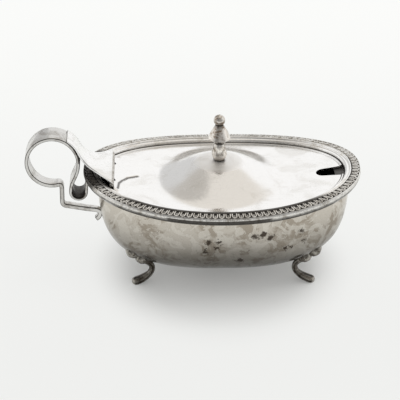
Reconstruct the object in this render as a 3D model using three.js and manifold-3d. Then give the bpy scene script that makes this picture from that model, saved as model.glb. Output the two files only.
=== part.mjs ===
// An oval cheese dish in silver plate: a boat-shaped bowl on four scroll feet, a cast egg-and-dart
// border, a hinged lid with a spoon notch and a baluster finial, and a strap handle with a finger
// ring. Millimetres. +X runs along the dish away from the handle, +Y to the back, +Z up.
// The table is z = 0, and everything is drawn round the bowl's centre and shifted at the end.

import * as THREE from 'three';
import * as BufferGeometryUtils from 'three/addons/utils/BufferGeometryUtils.js';
import Module from 'manifold-3d';

const wasm = await Module();
wasm.setup();

// Rim
const RIM_A = 74;             // half length at the border's outermost edge
const RIM_B = 51.5;           // half width there
const BOWL_DEPTH = 47.6;      // underside of the bowl below the border's top
const BOWL_CLEARANCE = 6.7;   // and above the table
const RIM_Z = BOWL_CLEARANCE + BOWL_DEPTH; // top of the border at the middle of each long side
const SHEER = 5.3;            // how much higher the rim stands at the two ends
const OVAL_POWER = 2.15;      // a little squarer than an ellipse, which is 2
const GAP = 0.3;              // solder or resting gap between fixed pieces

// Bowl
const BOWL_X = 1.0;           // the bowl sits this much nearer the notch end than the border does
const BOWL_INSET_X = 6.9;     // bowl's wall, measured in from the border's outermost edge, at the ends
const BOWL_INSET_Y = 8.4;     // and at the long sides
const BOWL_HALF_LENGTH = RIM_A - BOWL_INSET_X;
const BOWL_HALF_WIDTH = RIM_B - BOWL_INSET_Y;
const BOWL_TOP = -5.6;        // top of the wall, from the border's top
const BOWL_POWER = 2.78;      // squareness of the bowl's section
const BOWL_WALL = 1.2;

// Border and lid seat, as heights from the border's top
const BORDER_WIDTH = 4.6;
const BORDER_BOTTOM = -4.4;
const ORNAMENT_UNITS = 104;
const ORNAMENT_RELIEF = 0.7;
const SEAT_LEDGE_INSET = 13.6;
const SEAT_WALL_INSET = 8.5;
const LID_TOP = -2.9;
const LID_THICKNESS = 1.0;
const LID_EDGE_GAP = 0.35;
const LID_BEAD_WIDTH = 1.2;   // raised bead along the lid's edge
const LID_BEAD_RISE = 0.5;

// Dome and finial
const DOME_X = -1.5;
const DOME_RADIUS_X = 30;
const DOME_RADIUS_Y = 28;
const DOME_RISE = 11.1;
const DOME_CAP_RADIUS = 4.6;
const STUD_RADIUS = 1.4;
const STUD_LENGTH = 4.2;
const STUD_HOLE_RADIUS = 1.7;
const FACETS_FROM = 12;       // stretch of the finial that is cut in eight facets
const FACETS_TO = 19;
const NUT_RADIUS = 3.4;
const NUT_HEIGHT = 2.2;

// Hinge
const HINGE_INSET = 15.4;     // hinge line, in from the border's outermost edge
const HINGE_LIFT = 2.48;      // and above the lid
const HINGE_X = HINGE_INSET - RIM_A;
const HINGE_Z = RIM_Z + LID_TOP + sheerAt(HINGE_X) + HINGE_LIFT;
const BARREL_RADIUS = 1.15;
const BARREL_CLEARANCE = 1.74; // from the barrel's ends to the seat's wall
const BARREL_HALF_LENGTH = halfWidthAt(HINGE_X, SEAT_WALL_INSET) - BARREL_CLEARANCE;
const LID_KNUCKLE_HALF_LENGTH = 9.9;
const PIN_RADIUS = 0.6;
const PIN_CLEARANCE = 0.05;
const PIN_END = 0.4;          // past each end of the barrel
const LID_CHORD_GAP = 0.4;    // from the barrel to the lid's straight cut
const LEAF_THICKNESS = 0.8;
const LEAF_LENGTH = 9;

// Spoon notch, open at the lid's right edge
const NOTCH_DEPTH = 14.85;    // in from the lid's edge
const NOTCH_START_X = RIM_A - SEAT_WALL_INSET - LID_EDGE_GAP - NOTCH_DEPTH;
const NOTCH_WIDTH = 8.2;
const NOTCH_FLARE = 0.135;    // widening on each side for each millimetre of length

// Strap handle
const STRAP_THICKNESS = 1.75;
const STRAP_WIDTH = 14.6;
const POST_THICKNESS = 2.35;  // the strip is thicker where it is narrow
const POST_WIDTH = 4.4;
const RING_RADIUS_X = 13.72;  // to the middle of the strap's thickness
const RING_RADIUS_Z = 14.42;
const RING_CLEARANCE = 1.5;   // from the border's end to the ring
const RING_RISE = 9.5;        // ring's middle above the border's top
const CURL_RADIUS = 4.1;
const CURL_INSET = 1.45;      // curl's inner side, in from the border's outermost edge
const CURL_DROP = 7.1;        // curl's middle below the border's top
const POST_SHIFT = 4.4;       // short upright below the ring, from the ring's middle
const BEND = 2.8;             // at both ends of the upright
const SHELF_SINK = 19;        // nearly level stretch to the bowl, below the border's top
const SHELF_DROP = 2.0;       // how much lower that stretch ends than it starts
const HOOK_SINK = 22.6;       // where the strap touches the bowl's side, below the border's top
const RING_X = -RIM_A - RING_CLEARANCE - STRAP_THICKNESS / 2 - RING_RADIUS_X;
const RING_Z = RIM_Z + RING_RISE;

// Bridge from the ring to the hinge
const BRIDGE_THICKNESS = 1.2;
const FAN_OVERHANG = 1.6;     // past each end of the barrel

// Feet, placed round the bowl's middle as shares of its half length and half width
const FOOT_ALONG = 0.634;
const FOOT_ACROSS = 0.499;
const FOOT_TURN = THREE.MathUtils.degToRad(12);
const PAD_REACH = 7.4;        // from the foot's middle out to the middle of its pad
const PAD_HEIGHT = 23.2;      // bowl's height there for which the foot's stations are written

const meshes = [];

const silver = (name, colour, roughness, metalness) =>
  new THREE.MeshStandardMaterial({ name, color: colour, roughness, metalness });

const finish = {
  bowl: silver('tarnished_silver', 0xb3ada2, 0.36, 0.95),
  lid: silver('bright_silver', 0xdad7d2, 0.22, 1.0),
  border: silver('cast_silver', 0xa8a49b, 0.4, 0.95),
  strap: silver('rolled_silver', 0xb8b5ae, 0.3, 1.0),
  finial: silver('turned_silver', 0x9c9387, 0.35, 0.95),
  foot: silver('dark_cast_silver', 0x6f6a60, 0.45, 0.9),
  hinge: silver('hinge_metal', 0x8e8b84, 0.42, 0.95),
};

function addMesh(name, geometry, material) {
  geometry.computeVertexNormals();
  const mesh = new THREE.Mesh(geometry, material);
  mesh.name = name;
  meshes.push(mesh);
}

function toSolid(geometry) {
  const bare = geometry.clone();
  bare.deleteAttribute('normal');
  bare.deleteAttribute('uv');
  const merged = BufferGeometryUtils.mergeVertices(bare, 1e-4);
  const mesh = new wasm.Mesh({
    numProp: 3,
    vertProperties: new Float32Array(merged.attributes.position.array),
    triVerts: new Uint32Array(merged.index.array),
  });
  return new wasm.Manifold(mesh);
}

function fromSolid(solid) {
  const { vertProperties, triVerts, numProp } = solid.getMesh();
  const positions = [];
  for (let i = 0; i < vertProperties.length; i += numProp) {
    positions.push(vertProperties[i], vertProperties[i + 1], vertProperties[i + 2]);
  }
  const geometry = new THREE.BufferGeometry();
  geometry.setAttribute('position', new THREE.Float32BufferAttribute(positions, 3));
  geometry.setIndex(Array.from(triVerts));
  return geometry;
}

// A closed skin through a list of rings, each an array of points of the same length. The ends are
// closed by flat fans, or the last ring is joined back to the first when wrap is true.
function loft(rings, wrap = false) {
  const columns = rings[0].length;
  const positions = [];
  const indices = [];
  for (const ring of rings) {
    for (const point of ring) positions.push(point.x, point.y, point.z);
  }
  const spans = wrap ? rings.length : rings.length - 1;
  for (let i = 0; i < spans; i += 1) {
    const low = i * columns;
    const high = ((i + 1) % rings.length) * columns;
    for (let j = 0; j < columns; j += 1) {
      const next = (j + 1) % columns;
      indices.push(low + j, low + next, high + next);
      indices.push(low + j, high + next, high + j);
    }
  }
  if (!wrap) {
    const lastStart = columns * (rings.length - 1);
    for (const [ring, start, flip] of [[rings[0], 0, true], [rings.at(-1), lastStart, false]]) {
      const centre = new THREE.Vector3();
      for (const point of ring) centre.add(point);
      centre.divideScalar(columns);
      const tip = positions.length / 3;
      positions.push(centre.x, centre.y, centre.z);
      for (let j = 0; j < columns; j += 1) {
        const next = (j + 1) % columns;
        if (flip) indices.push(start + next, start + j, tip);
        else indices.push(start + j, start + next, tip);
      }
    }
  }
  const geometry = new THREE.BufferGeometry();
  geometry.setAttribute('position', new THREE.Float32BufferAttribute(positions, 3));
  geometry.setIndex(indices);
  return geometry;
}

function extruded(outline, depth, curveSegments = 1) {
  return new THREE.ExtrudeGeometry(outline, { depth, bevelEnabled: false, curveSegments });
}

function evenTurns(count) {
  return Array.from({ length: count }, (_, i) => (2 * Math.PI * i) / count);
}

function ovalPoint(halfLength, halfWidth, turn, centreX = 0) {
  const c = Math.cos(turn);
  const s = Math.sin(turn);
  const size = (Math.abs(c) ** OVAL_POWER + Math.abs(s) ** OVAL_POWER) ** (-1 / OVAL_POWER);
  return new THREE.Vector2(centreX + halfLength * c * size, halfWidth * s * size);
}

// Half width of the rim's oval at x, so far in from its outermost edge.
function halfWidthAt(x, inset) {
  const lengthwise = Math.abs(x / (RIM_A - inset)) ** OVAL_POWER;
  return (RIM_B - inset) * (1 - lengthwise) ** (1 / OVAL_POWER);
}

function sheerAt(x) {
  return SHEER * (x / RIM_A) ** 2;
}

// A ring of the rim: so far in from the outermost edge, and so far from the border's top.
function rimRing(inset, height, turns) {
  return turns.map((turn) => {
    const flat = ovalPoint(RIM_A - inset, RIM_B - inset, turn);
    return new THREE.Vector3(flat.x, flat.y, RIM_Z + height + sheerAt(flat.x));
  });
}

// Turns that divide the rim into equal lengths, for ornament that repeats at an even pitch.
function pitchTurns(count) {
  const samples = evenTurns(2000);
  const points = samples.map((turn) => ovalPoint(RIM_A - BORDER_WIDTH / 2, RIM_B - BORDER_WIDTH / 2, turn));
  const travelled = [0];
  for (let i = 0; i < points.length; i += 1) {
    travelled.push(travelled[i] + points[i].distanceTo(points[(i + 1) % points.length]));
  }
  const pitch = travelled.at(-1) / count;
  const turns = [];
  let i = 0;
  for (let k = 0; k < count; k += 1) {
    while (travelled[i + 1] <= k * pitch) i += 1;
    const part = (k * pitch - travelled[i]) / (travelled[i + 1] - travelled[i]);
    turns.push((2 * Math.PI * (i + part)) / samples.length);
  }
  return turns;
}

function bowlShell() {
  const turns = evenTurns(60);
  const rows = 11;
  const skin = (wall) => {
    const halfLength = BOWL_HALF_LENGTH - wall;
    const halfWidth = BOWL_HALF_WIDTH - wall;
    const drop = BOWL_DEPTH + BOWL_TOP - wall;
    const rings = [];
    for (let i = 0; i < rows; i += 1) {
      const lean = (Math.PI / 2) * (1 - i / rows) - 0.035 * (1 - i / rows);
      const spread = Math.cos(lean) ** (2 / BOWL_POWER);
      const sink = Math.sin(lean) ** (2 / BOWL_POWER);
      rings.push(bowlRing(halfLength * spread, halfWidth * spread, drop * sink, (1 - sink) ** 2, turns));
    }
    rings.push(bowlRing(halfLength, halfWidth, 0, 1, turns));
    return rings;
  };
  return loft([...skin(0), ...skin(BOWL_WALL).reverse()]);
}

function bowlRing(halfLength, halfWidth, drop, sheerShare, turns) {
  return turns.map((turn) => {
    const flat = ovalPoint(halfLength, halfWidth, turn, BOWL_X);
    return new THREE.Vector3(flat.x, flat.y, RIM_Z + BOWL_TOP - drop + sheerShare * sheerAt(flat.x));
  });
}

// Height of the bowl's outer surface over a point in plan.
function bowlUnderside(x, y) {
  const lengthwise = Math.abs((x - BOWL_X) / BOWL_HALF_LENGTH) ** OVAL_POWER;
  const sideways = Math.abs(y / BOWL_HALF_WIDTH) ** OVAL_POWER;
  const spread = Math.min((lengthwise + sideways) ** (1 / OVAL_POWER), 1);
  const sink = (1 - spread ** BOWL_POWER) ** (1 / BOWL_POWER);
  return RIM_Z + BOWL_TOP - (BOWL_DEPTH + BOWL_TOP) * sink + (1 - sink) ** 2 * sheerAt(x);
}

// Where the bowl's outer surface stands at its handle end, at a height, found by halving.
function bowlEndAt(z) {
  let inside = BOWL_X;
  let outside = BOWL_X - BOWL_HALF_LENGTH;
  for (let i = 0; i < 30; i += 1) {
    const middle = (inside + outside) / 2;
    if (bowlUnderside(middle, 0) < z) inside = middle;
    else outside = middle;
  }
  return inside;
}

// The cast border: every unit is an egg standing proud between two dark cuts.
function ornamentBorder() {
  const turns = pitchTurns(ORNAMENT_UNITS * 3);
  const isCut = (j) => j % 3 === 0;
  const outer = rimRing(0.6, -0.85, turns);
  const inner = rimRing(BORDER_WIDTH - 0.4, 0, turns);
  for (const ring of [outer, inner]) {
    ring.forEach((point, j) => {
      if (isCut(j)) point.z -= ORNAMENT_RELIEF;
    });
  }
  return loft([
    rimRing(0.8, BORDER_BOTTOM, turns),
    rimRing(0, -2.7, turns),
    outer,
    inner,
    rimRing(BORDER_WIDTH, -0.35, turns),
    rimRing(BORDER_WIDTH, BORDER_BOTTOM, turns),
  ], true);
}

// The plain moulding inside the border, with the ledge the lid rests on. The ledge stops short of
// the hinge at the handle end.
function lidSeat() {
  const turns = evenTurns(60);
  const ledgeTop = LID_TOP - LID_THICKNESS - GAP;
  const plateTop = BORDER_BOTTOM - GAP;
  const plateBottom = BOWL_TOP + GAP;
  const coveInset = BORDER_WIDTH + GAP;
  const wide = rimRing(SEAT_LEDGE_INSET, 0, turns);
  const narrow = rimRing(SEAT_WALL_INSET + 0.4, 0, turns);
  const ledgeRing = (height) => wide.map((point, j) => {
    const base = point.x < HINGE_X + 6 ? narrow[j] : point;
    return new THREE.Vector3(base.x, base.y, base.z + height);
  });
  return loft([
    rimRing(1.2, plateBottom, turns),
    rimRing(1.2, plateTop, turns),
    rimRing(coveInset, plateTop, turns),
    rimRing(coveInset, -0.35, turns),
    rimRing(coveInset + 1.2, -0.15, turns),
    rimRing(SEAT_WALL_INSET - 0.3, -1.1, turns),
    rimRing(SEAT_WALL_INSET, ledgeTop, turns),
    ledgeRing(ledgeTop),
    ledgeRing(plateBottom),
  ], true);
}

function domeHeight(share) {
  const soft = (Math.cos(Math.PI * share) + 1) / 2;
  return DOME_RISE * (0.4 * soft + 0.6 * (1 - share) ** 1.5);
}

function lidRings(height, edgeInset, turns) {
  const rings = [];
  const ring = (halfLength, halfWidth, centreX, rise) => turns.map((turn) => {
    const flat = ovalPoint(halfLength, halfWidth, turn, centreX);
    return new THREE.Vector3(flat.x, flat.y, RIM_Z + height + rise + sheerAt(flat.x));
  });
  rings.push(ring(STUD_HOLE_RADIUS, STUD_HOLE_RADIUS, DOME_X, DOME_RISE));
  for (const share of [0, 0.16, 0.35, 0.56, 0.78, 1]) {
    const halfLength = THREE.MathUtils.lerp(DOME_CAP_RADIUS, DOME_RADIUS_X, share);
    const halfWidth = THREE.MathUtils.lerp(DOME_CAP_RADIUS, DOME_RADIUS_Y, share);
    rings.push(ring(halfLength, halfWidth, DOME_X, domeHeight(share)));
  }
  for (const share of [0.3, 0.65, 1]) {
    const halfLength = THREE.MathUtils.lerp(DOME_RADIUS_X, RIM_A - edgeInset, share);
    const halfWidth = THREE.MathUtils.lerp(DOME_RADIUS_Y, RIM_B - edgeInset, share);
    rings.push(ring(halfLength, halfWidth, DOME_X * (1 - share), 0));
  }
  return rings;
}

function notchCutter() {
  const half = NOTCH_WIDTH / 2;
  const length = RIM_A - NOTCH_START_X;
  const mouth = half + NOTCH_FLARE * (length - half);
  const outline = new THREE.Shape();
  outline.moveTo(length, mouth);
  outline.lineTo(half, half);
  outline.absarc(half, 0, half, Math.PI / 2, (3 * Math.PI) / 2, false);
  outline.lineTo(length, -mouth);
  outline.closePath();
  const block = extruded(outline, 2 * RIM_Z, 10);
  block.translate(NOTCH_START_X, 0, 0);
  return toSolid(block);
}

function lidPlate() {
  const turns = evenTurns(60);
  const edgeInset = SEAT_WALL_INSET + LID_EDGE_GAP;
  const under = lidRings(LID_TOP - LID_THICKNESS, edgeInset, turns);
  const bead = [
    rimRing(edgeInset, LID_TOP + LID_BEAD_RISE / 2, turns),
    rimRing(edgeInset + LID_BEAD_WIDTH / 2, LID_TOP + LID_BEAD_RISE, turns),
  ];
  const top = lidRings(LID_TOP, edgeInset + LID_BEAD_WIDTH, turns);
  const plate = toSolid(loft([...under, ...bead, ...top.reverse()], true));
  const handleEnd = new THREE.BoxGeometry(RIM_A, 2 * RIM_B, 2 * RIM_Z);
  handleEnd.translate(HINGE_X + BARREL_RADIUS + LID_CHORD_GAP - RIM_A / 2, 0, RIM_Z);
  return fromSolid(plate.subtract(toSolid(handleEnd)).subtract(notchCutter()));
}

// A cast baluster with its screw stud. The upper bulb is cut in eight facets.
function finialBaluster() {
  const base = RIM_Z + LID_TOP + DOME_RISE + GAP / 3;
  const profile = [
    [0, -STUD_LENGTH], [STUD_RADIUS, -STUD_LENGTH], [STUD_RADIUS, 0], [2.9, 0], [3.0, 0.4], [3.9, 1.6],
    [4.4, 3.1], [3.9, 5.1], [2.9, 7.9], [2.3, 9.7], [2.4, 10.3], [4.5, 12.2], [5.85, 13.5], [5.2, 14.7],
    [4.2, 16.4], [2.9, 18.7], [2.0, 20.3], [1.9, 20.8], [2.5, 21.8], [2.85, 23.1], [2.5, 24.6], [1.5, 25.6],
    [0, 25.9],
  ].map(([radius, height]) => new THREE.Vector2(radius, height));
  const geometry = new THREE.LatheGeometry(profile, 16);
  const position = geometry.attributes.position;
  for (let i = 0; i < position.count; i += 1) {
    const column = Math.floor(i / profile.length);
    const height = position.getY(i);
    if (column % 2 === 1 && height > FACETS_FROM && height < FACETS_TO) {
      position.setX(i, position.getX(i) * Math.cos(Math.PI / 8));
      position.setZ(i, position.getZ(i) * Math.cos(Math.PI / 8));
    }
  }
  geometry.rotateX(Math.PI / 2);
  geometry.translate(DOME_X, 0, base);
  return geometry;
}

function finialNut() {
  const top = RIM_Z + LID_TOP - LID_THICKNESS + DOME_RISE - GAP;
  const hexagon = new THREE.Shape();
  for (let i = 0; i < 6; i += 1) {
    const turn = (Math.PI / 3) * i;
    hexagon[i ? 'lineTo' : 'moveTo'](NUT_RADIUS * Math.cos(turn), NUT_RADIUS * Math.sin(turn));
  }
  hexagon.closePath();
  hexagon.holes.push(new THREE.Path().absarc(0, 0, STUD_RADIUS + 0.1, 0, 2 * Math.PI, true));
  const geometry = extruded(hexagon, NUT_HEIGHT, 16);
  geometry.translate(DOME_X, 0, top - NUT_HEIGHT);
  return geometry;
}

function tubeAlongY(outer, bore, from, to) {
  const outline = new THREE.Shape().absarc(0, 0, outer, 0, 2 * Math.PI, false);
  if (bore > 0) outline.holes.push(new THREE.Path().absarc(0, 0, bore, 0, 2 * Math.PI, true));
  const geometry = extruded(outline, to - from, 20);
  geometry.rotateX(-Math.PI / 2);
  geometry.translate(HINGE_X, from, HINGE_Z);
  return geometry;
}

// The lid's knuckle, with a web down past the lid's cut edge and a leaf below the lid.
function lidKnuckle() {
  const bore = PIN_RADIUS + PIN_CLEARANCE;
  const length = 2 * LID_KNUCKLE_HALF_LENGTH;
  const leafTop = (x) => RIM_Z + LID_TOP - LID_THICKNESS - GAP + sheerAt(x);
  const webRight = HINGE_X + BARREL_RADIUS;
  const webLeft = webRight - LEAF_THICKNESS;
  const webTop = HINGE_Z - BARREL_RADIUS / 2;
  const leafEnd = HINGE_X + LEAF_LENGTH;
  const outline = new THREE.Shape([
    new THREE.Vector2(webLeft, webTop),
    new THREE.Vector2(webLeft, leafTop(webLeft) - LEAF_THICKNESS),
    new THREE.Vector2(leafEnd, leafTop(leafEnd) - LEAF_THICKNESS),
    new THREE.Vector2(leafEnd, leafTop(leafEnd)),
    new THREE.Vector2(webRight, leafTop(webRight)),
    new THREE.Vector2(webRight, webTop),
  ]);
  const leaf = extruded(outline, length);
  leaf.rotateX(Math.PI / 2);
  leaf.translate(0, LID_KNUCKLE_HALF_LENGTH, 0);
  const tube = toSolid(tubeAlongY(BARREL_RADIUS, 0, -LID_KNUCKLE_HALF_LENGTH, LID_KNUCKLE_HALF_LENGTH));
  const hole = toSolid(tubeAlongY(bore, 0, -RIM_B, RIM_B));
  return fromSolid(tube.add(toSolid(leaf)).subtract(hole));
}

function bridgeKnuckle(side) {
  const inner = LID_KNUCKLE_HALF_LENGTH + GAP;
  const from = side < 0 ? -BARREL_HALF_LENGTH : inner;
  const to = side < 0 ? -inner : BARREL_HALF_LENGTH;
  return tubeAlongY(BARREL_RADIUS, PIN_RADIUS + PIN_CLEARANCE, from, to);
}

function hingePin() {
  const end = BARREL_HALF_LENGTH + PIN_END;
  return tubeAlongY(PIN_RADIUS, 0, -end, end);
}

// A flat strap along points in the XZ plane, with its own width and thickness at each point.
function strap(points, widths, thicknesses) {
  const rings = points.map((point, i) => {
    const before = points[Math.max(i - 1, 0)];
    const after = points[Math.min(i + 1, points.length - 1)];
    const along = new THREE.Vector2().subVectors(after, before).normalize();
    const out = new THREE.Vector2(-along.y, along.x).multiplyScalar(thicknesses[i] / 2);
    const half = widths[i] / 2;
    const corner = (sideways, outwards) => new THREE.Vector3(
      point.x + outwards * out.x,
      sideways * half,
      point.y + outwards * out.y,
    );
    return [corner(1, 1), corner(-1, 1), corner(-1, -1), corner(1, -1)];
  });
  return loft(rings);
}

function widthAlong(stops, share) {
  let i = 0;
  while (i < stops.length - 2 && share > stops[i + 1][0]) i += 1;
  const [from, low] = stops[i];
  const [to, high] = stops[i + 1];
  return THREE.MathUtils.mapLinear(THREE.MathUtils.clamp(share, from, to), from, to, low, high);
}

// One strap from under the border, through the curl and the finger ring, to the bowl's side.
// Each piece gives its curve, its number of steps and the strap's width at its start and end.
function handleStrap() {
  const curlRight = CURL_INSET - RIM_A;
  const curlX = curlRight - CURL_RADIUS;
  const curlLeft = curlX - CURL_RADIUS;
  const curlZ = RIM_Z - CURL_DROP;
  const strapTop = RIM_Z + BOWL_TOP + sheerAt(curlRight) - GAP / 2;
  const ringRight = RING_X + RING_RADIUS_X;
  const ringEnd = THREE.MathUtils.degToRad(281);
  const endX = RING_X + RING_RADIUS_X * Math.cos(ringEnd);
  const endZ = RING_Z + RING_RADIUS_Z * Math.sin(ringEnd);
  const postX = RING_X + POST_SHIFT;
  const shelfHigh = RIM_Z - SHELF_SINK + SHELF_DROP / 2;
  const shelfLow = shelfHigh - SHELF_DROP;
  const hookZ = RIM_Z - HOOK_SINK;
  const hookX = bowlEndAt(hookZ + POST_THICKNESS / 4) - GAP - POST_THICKNESS / 2;
  const shelfEnd = hookX - 6.7;
  const v = (x, z) => new THREE.Vector2(x, z);
  const shelfStart = v(postX + BEND, shelfHigh);
  const line = (from, to) => new THREE.LineCurve(from, to);
  const corner = (from, control, to) => new THREE.QuadraticBezierCurve(from, control, to);
  const sweep = (from, first, second, to) => new THREE.CubicBezierCurve(from, first, second, to);
  const curl = new THREE.EllipseCurve(curlX, curlZ, CURL_RADIUS, CURL_RADIUS, 0, -Math.PI, true);
  const ring = new THREE.EllipseCurve(RING_X, RING_Z, RING_RADIUS_X, RING_RADIUS_Z, 0, ringEnd, false);
  const riseFrom = v(curlLeft, curlZ);
  const rise = sweep(riseFrom, v(curlLeft, curlZ + 6.8), v(ringRight, RING_Z - 7.8), v(ringRight, RING_Z));
  const hook = v(hookX, hookZ);
  const beforeHook = v(hookX - 3.7, shelfLow - 0.5);
  const intoHook = sweep(v(shelfEnd, shelfLow), beforeHook, v(hookX + 0.2, hookZ + 2.3), hook);
  const pieces = [
    [line(v(curlRight + 0.5, strapTop), v(curlRight, curlZ)), 2, STRAP_WIDTH, STRAP_WIDTH],
    [curl, 10, STRAP_WIDTH, STRAP_WIDTH],
    [rise, 8, STRAP_WIDTH, STRAP_WIDTH],
    [ring, 36, STRAP_WIDTH, 6.4],
    [corner(v(endX, endZ), v(postX - 0.1, endZ + 0.3), v(postX, endZ - BEND)), 5, 6.4, POST_WIDTH],
    [line(v(postX, endZ - BEND), v(postX, shelfHigh + BEND)), 2, POST_WIDTH, POST_WIDTH],
    [corner(v(postX, shelfHigh + BEND), v(postX, shelfHigh + 0.2), shelfStart), 5, POST_WIDTH, 4.2],
    [line(shelfStart, v(shelfEnd, shelfLow)), 2, 4.2, 4],
    [intoHook, 7, 4, 3.8],
    [corner(hook, v(hookX - 0.1, hookZ - 2.3), v(hookX - 2.1, hookZ - 3.5)), 5, 3.8, 3.4],
  ];
  const ringTaper = [[0, STRAP_WIDTH], [0.4, 14.4], [0.64, 12], [0.8, 9], [0.96, 7], [1, 6.4]];
  const points = [];
  const widths = [];
  pieces.forEach(([curve, steps, startWidth, endWidth], k) => {
    const stops = curve === ring ? ringTaper : [[0, startWidth], [1, endWidth]];
    for (let i = k ? 1 : 0; i <= steps; i += 1) {
      points.push(curve.getPoint(i / steps));
      widths.push(widthAlong(stops, i / steps));
    }
  });
  const thicknesses = widths.map((width) => THREE.MathUtils.mapLinear(
    width, POST_WIDTH, STRAP_WIDTH, POST_THICKNESS, STRAP_THICKNESS,
  ));
  return strap(points, widths, thicknesses);
}

// The fixed bridge: a fan over the hinge that narrows to a strap lying on the ring.
function bridgePlate() {
  const lift = (STRAP_THICKNESS + BRIDGE_THICKNESS) / 2 + GAP;
  const tailStart = THREE.MathUtils.degToRad(24);
  const tailEnd = THREE.MathUtils.degToRad(58);
  const tail = new THREE.EllipseCurve(
    RING_X, RING_Z, RING_RADIUS_X + lift, RING_RADIUS_Z + lift, tailStart, tailEnd, false,
  );
  const from = new THREE.Vector2(HINGE_X, HINGE_Z + BARREL_RADIUS + GAP + BRIDGE_THICKNESS / 2);
  const to = tail.getPoint(0);
  const reach = tail.getTangent(0).multiplyScalar(8.5);
  const fan = new THREE.CubicBezierCurve(
    from, new THREE.Vector2(from.x - 7.9, from.y + 1.3), new THREE.Vector2().subVectors(to, reach), to,
  );
  const fanWidth = 2 * (BARREL_HALF_LENGTH + FAN_OVERHANG);
  const fanShape = [[0, 1], [0.1, 0.79], [0.23, 0.555], [0.41, 0.31], [0.62, 0.16], [0.81, 0.05], [1, 0]];
  const points = [];
  const widths = [];
  for (let i = 0; i <= 12; i += 1) {
    points.push(fan.getPoint(i / 12));
    widths.push(THREE.MathUtils.lerp(STRAP_WIDTH, fanWidth, widthAlong(fanShape, i / 12)));
  }
  for (let i = 1; i <= 10; i += 1) {
    points.push(tail.getPoint(i / 10));
    widths.push(STRAP_WIDTH);
  }
  return strap(points, widths, points.map(() => BRIDGE_THICKNESS));
}

// A cast scroll foot: leaf pad against the bowl, slim leg with an inward knee, spoon-shaped toe.
// Each station is distance outwards, height, half width and half thickness.
function scrollFoot() {
  const stations = [
    [9.4, 22.3, 1.0, 0.8], [8.8, 20.8, 2.6, 1.9], [7.4, 18.9, 3.2, 2.3], [5.8, 17.3, 2.8, 2.0],
    [4.5, 16.2, 2.1, 1.5], [3.1, 15.0, 2.7, 2.0], [1.3, 13.8, 2.9, 2.0], [-0.7, 12.6, 2.3, 1.7],
    [-2.5, 11.5, 1.7, 1.5], [-3.8, 10.2, 1.5, 1.5], [-4.4, 8.6, 1.5, 1.5], [-4.1, 6.8, 1.6, 1.5],
    [-3.0, 5.2, 1.9, 1.5], [-1.4, 4.0, 2.3, 1.6], [0.5, 3.0, 2.6, 1.7], [2.4, 2.0, 2.8, 1.75],
    [4.2, 1.4, 2.8, 1.75], [5.6, 1.25, 2.2, 1.5], [6.5, 1.2, 1.0, 0.8],
  ];
  const footX = BOWL_X + FOOT_ALONG * BOWL_HALF_LENGTH;
  const footY = FOOT_ACROSS * BOWL_HALF_WIDTH;
  const padX = footX + PAD_REACH * Math.cos(FOOT_TURN);
  const padY = footY + PAD_REACH * Math.sin(FOOT_TURN);
  const stretch = bowlUnderside(padX, padY) / PAD_HEIGHT;
  const sides = 10;
  const rings = stations.map(([u, height, halfWidth, halfThickness], i) => {
    const z = height * stretch;
    const before = stations[Math.max(i - 1, 0)];
    const after = stations[Math.min(i + 1, stations.length - 1)];
    const along = new THREE.Vector3(after[0] - before[0], 0, (after[1] - before[1]) * stretch).normalize();
    const out = new THREE.Vector3(-along.z, 0, along.x);
    return evenTurns(sides).map((turn) => new THREE.Vector3(
      u + out.x * halfThickness * Math.sin(turn),
      halfWidth * Math.cos(turn),
      z + out.z * halfThickness * Math.sin(turn),
    ));
  });
  const below = new THREE.BoxGeometry(60, 60, 10);
  below.translate(0, 0, -5);
  const geometry = fromSolid(toSolid(loft(rings)).subtract(toSolid(below)));
  geometry.rotateZ(FOOT_TURN);
  geometry.translate(footX - BOWL_X, footY, 0);
  return geometry;
}

function mirrored(geometry, scaleX, scaleY) {
  const copy = geometry.clone();
  copy.scale(scaleX, scaleY, 1);
  if (scaleX * scaleY < 0) {
    const index = copy.index.array;
    for (let i = 0; i < index.length; i += 3) [index[i], index[i + 1]] = [index[i + 1], index[i]];
  }
  return copy;
}

addMesh('bowl', bowlShell(), finish.bowl);
addMesh('lid_seat', lidSeat(), finish.border);
addMesh('rim_border', ornamentBorder(), finish.border);
addMesh('handle_strap', handleStrap(), finish.strap);
addMesh('bridge_plate', bridgePlate(), finish.strap);
addMesh('bridge_knuckle_front', bridgeKnuckle(-1), finish.hinge);
addMesh('bridge_knuckle_back', bridgeKnuckle(1), finish.hinge);
addMesh('hinge_pin', hingePin(), finish.hinge);
addMesh('lid_knuckle', lidKnuckle(), finish.hinge);
addMesh('lid', lidPlate(), finish.lid);
addMesh('finial', finialBaluster(), finish.finial);
addMesh('finial_nut', finialNut(), finish.hinge);

const foot = scrollFoot();
for (const [side, scaleY] of [['front', -1], ['back', 1]]) {
  for (const [end, scaleX] of [['left', -1], ['right', 1]]) {
    const placed = mirrored(foot, scaleX, scaleY).translate(BOWL_X, 0, 0);
    addMesh(`foot_${side}_${end}`, placed, finish.foot);
  }
}

const dish = new THREE.Group();
dish.name = 'cheese_dish';
const handleReach = RING_X - RING_RADIUS_X - STRAP_THICKNESS / 2;
const centreX = (RIM_A + handleReach) / 2;
for (const mesh of meshes) {
  mesh.geometry.translate(-centreX, 0, 0);
  dish.add(mesh);
}

export default dish;
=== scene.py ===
# %% [markdown]
# # A silver-plated cheese dish
# The dish holds grated parmesan at the table: an oval bowl on four scroll feet, a hinged lid with a
# notch for the spoon, and a strap handle with a ring for the finger. This file gives the CAD model
# its looks: every piece is drawn again with smooth curves and finished as worn silver plate. Most
# sizes are those of the CAD model. The lid's dome, the lower part of the bowl, the finial's facets
# and the number of ornament units follow the photograph more closely, and differ from the solids.
# Sizes are in millimetres round the rim's centre, and `place` brings them into the frame.

# %% Frame and tools
import math

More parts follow.
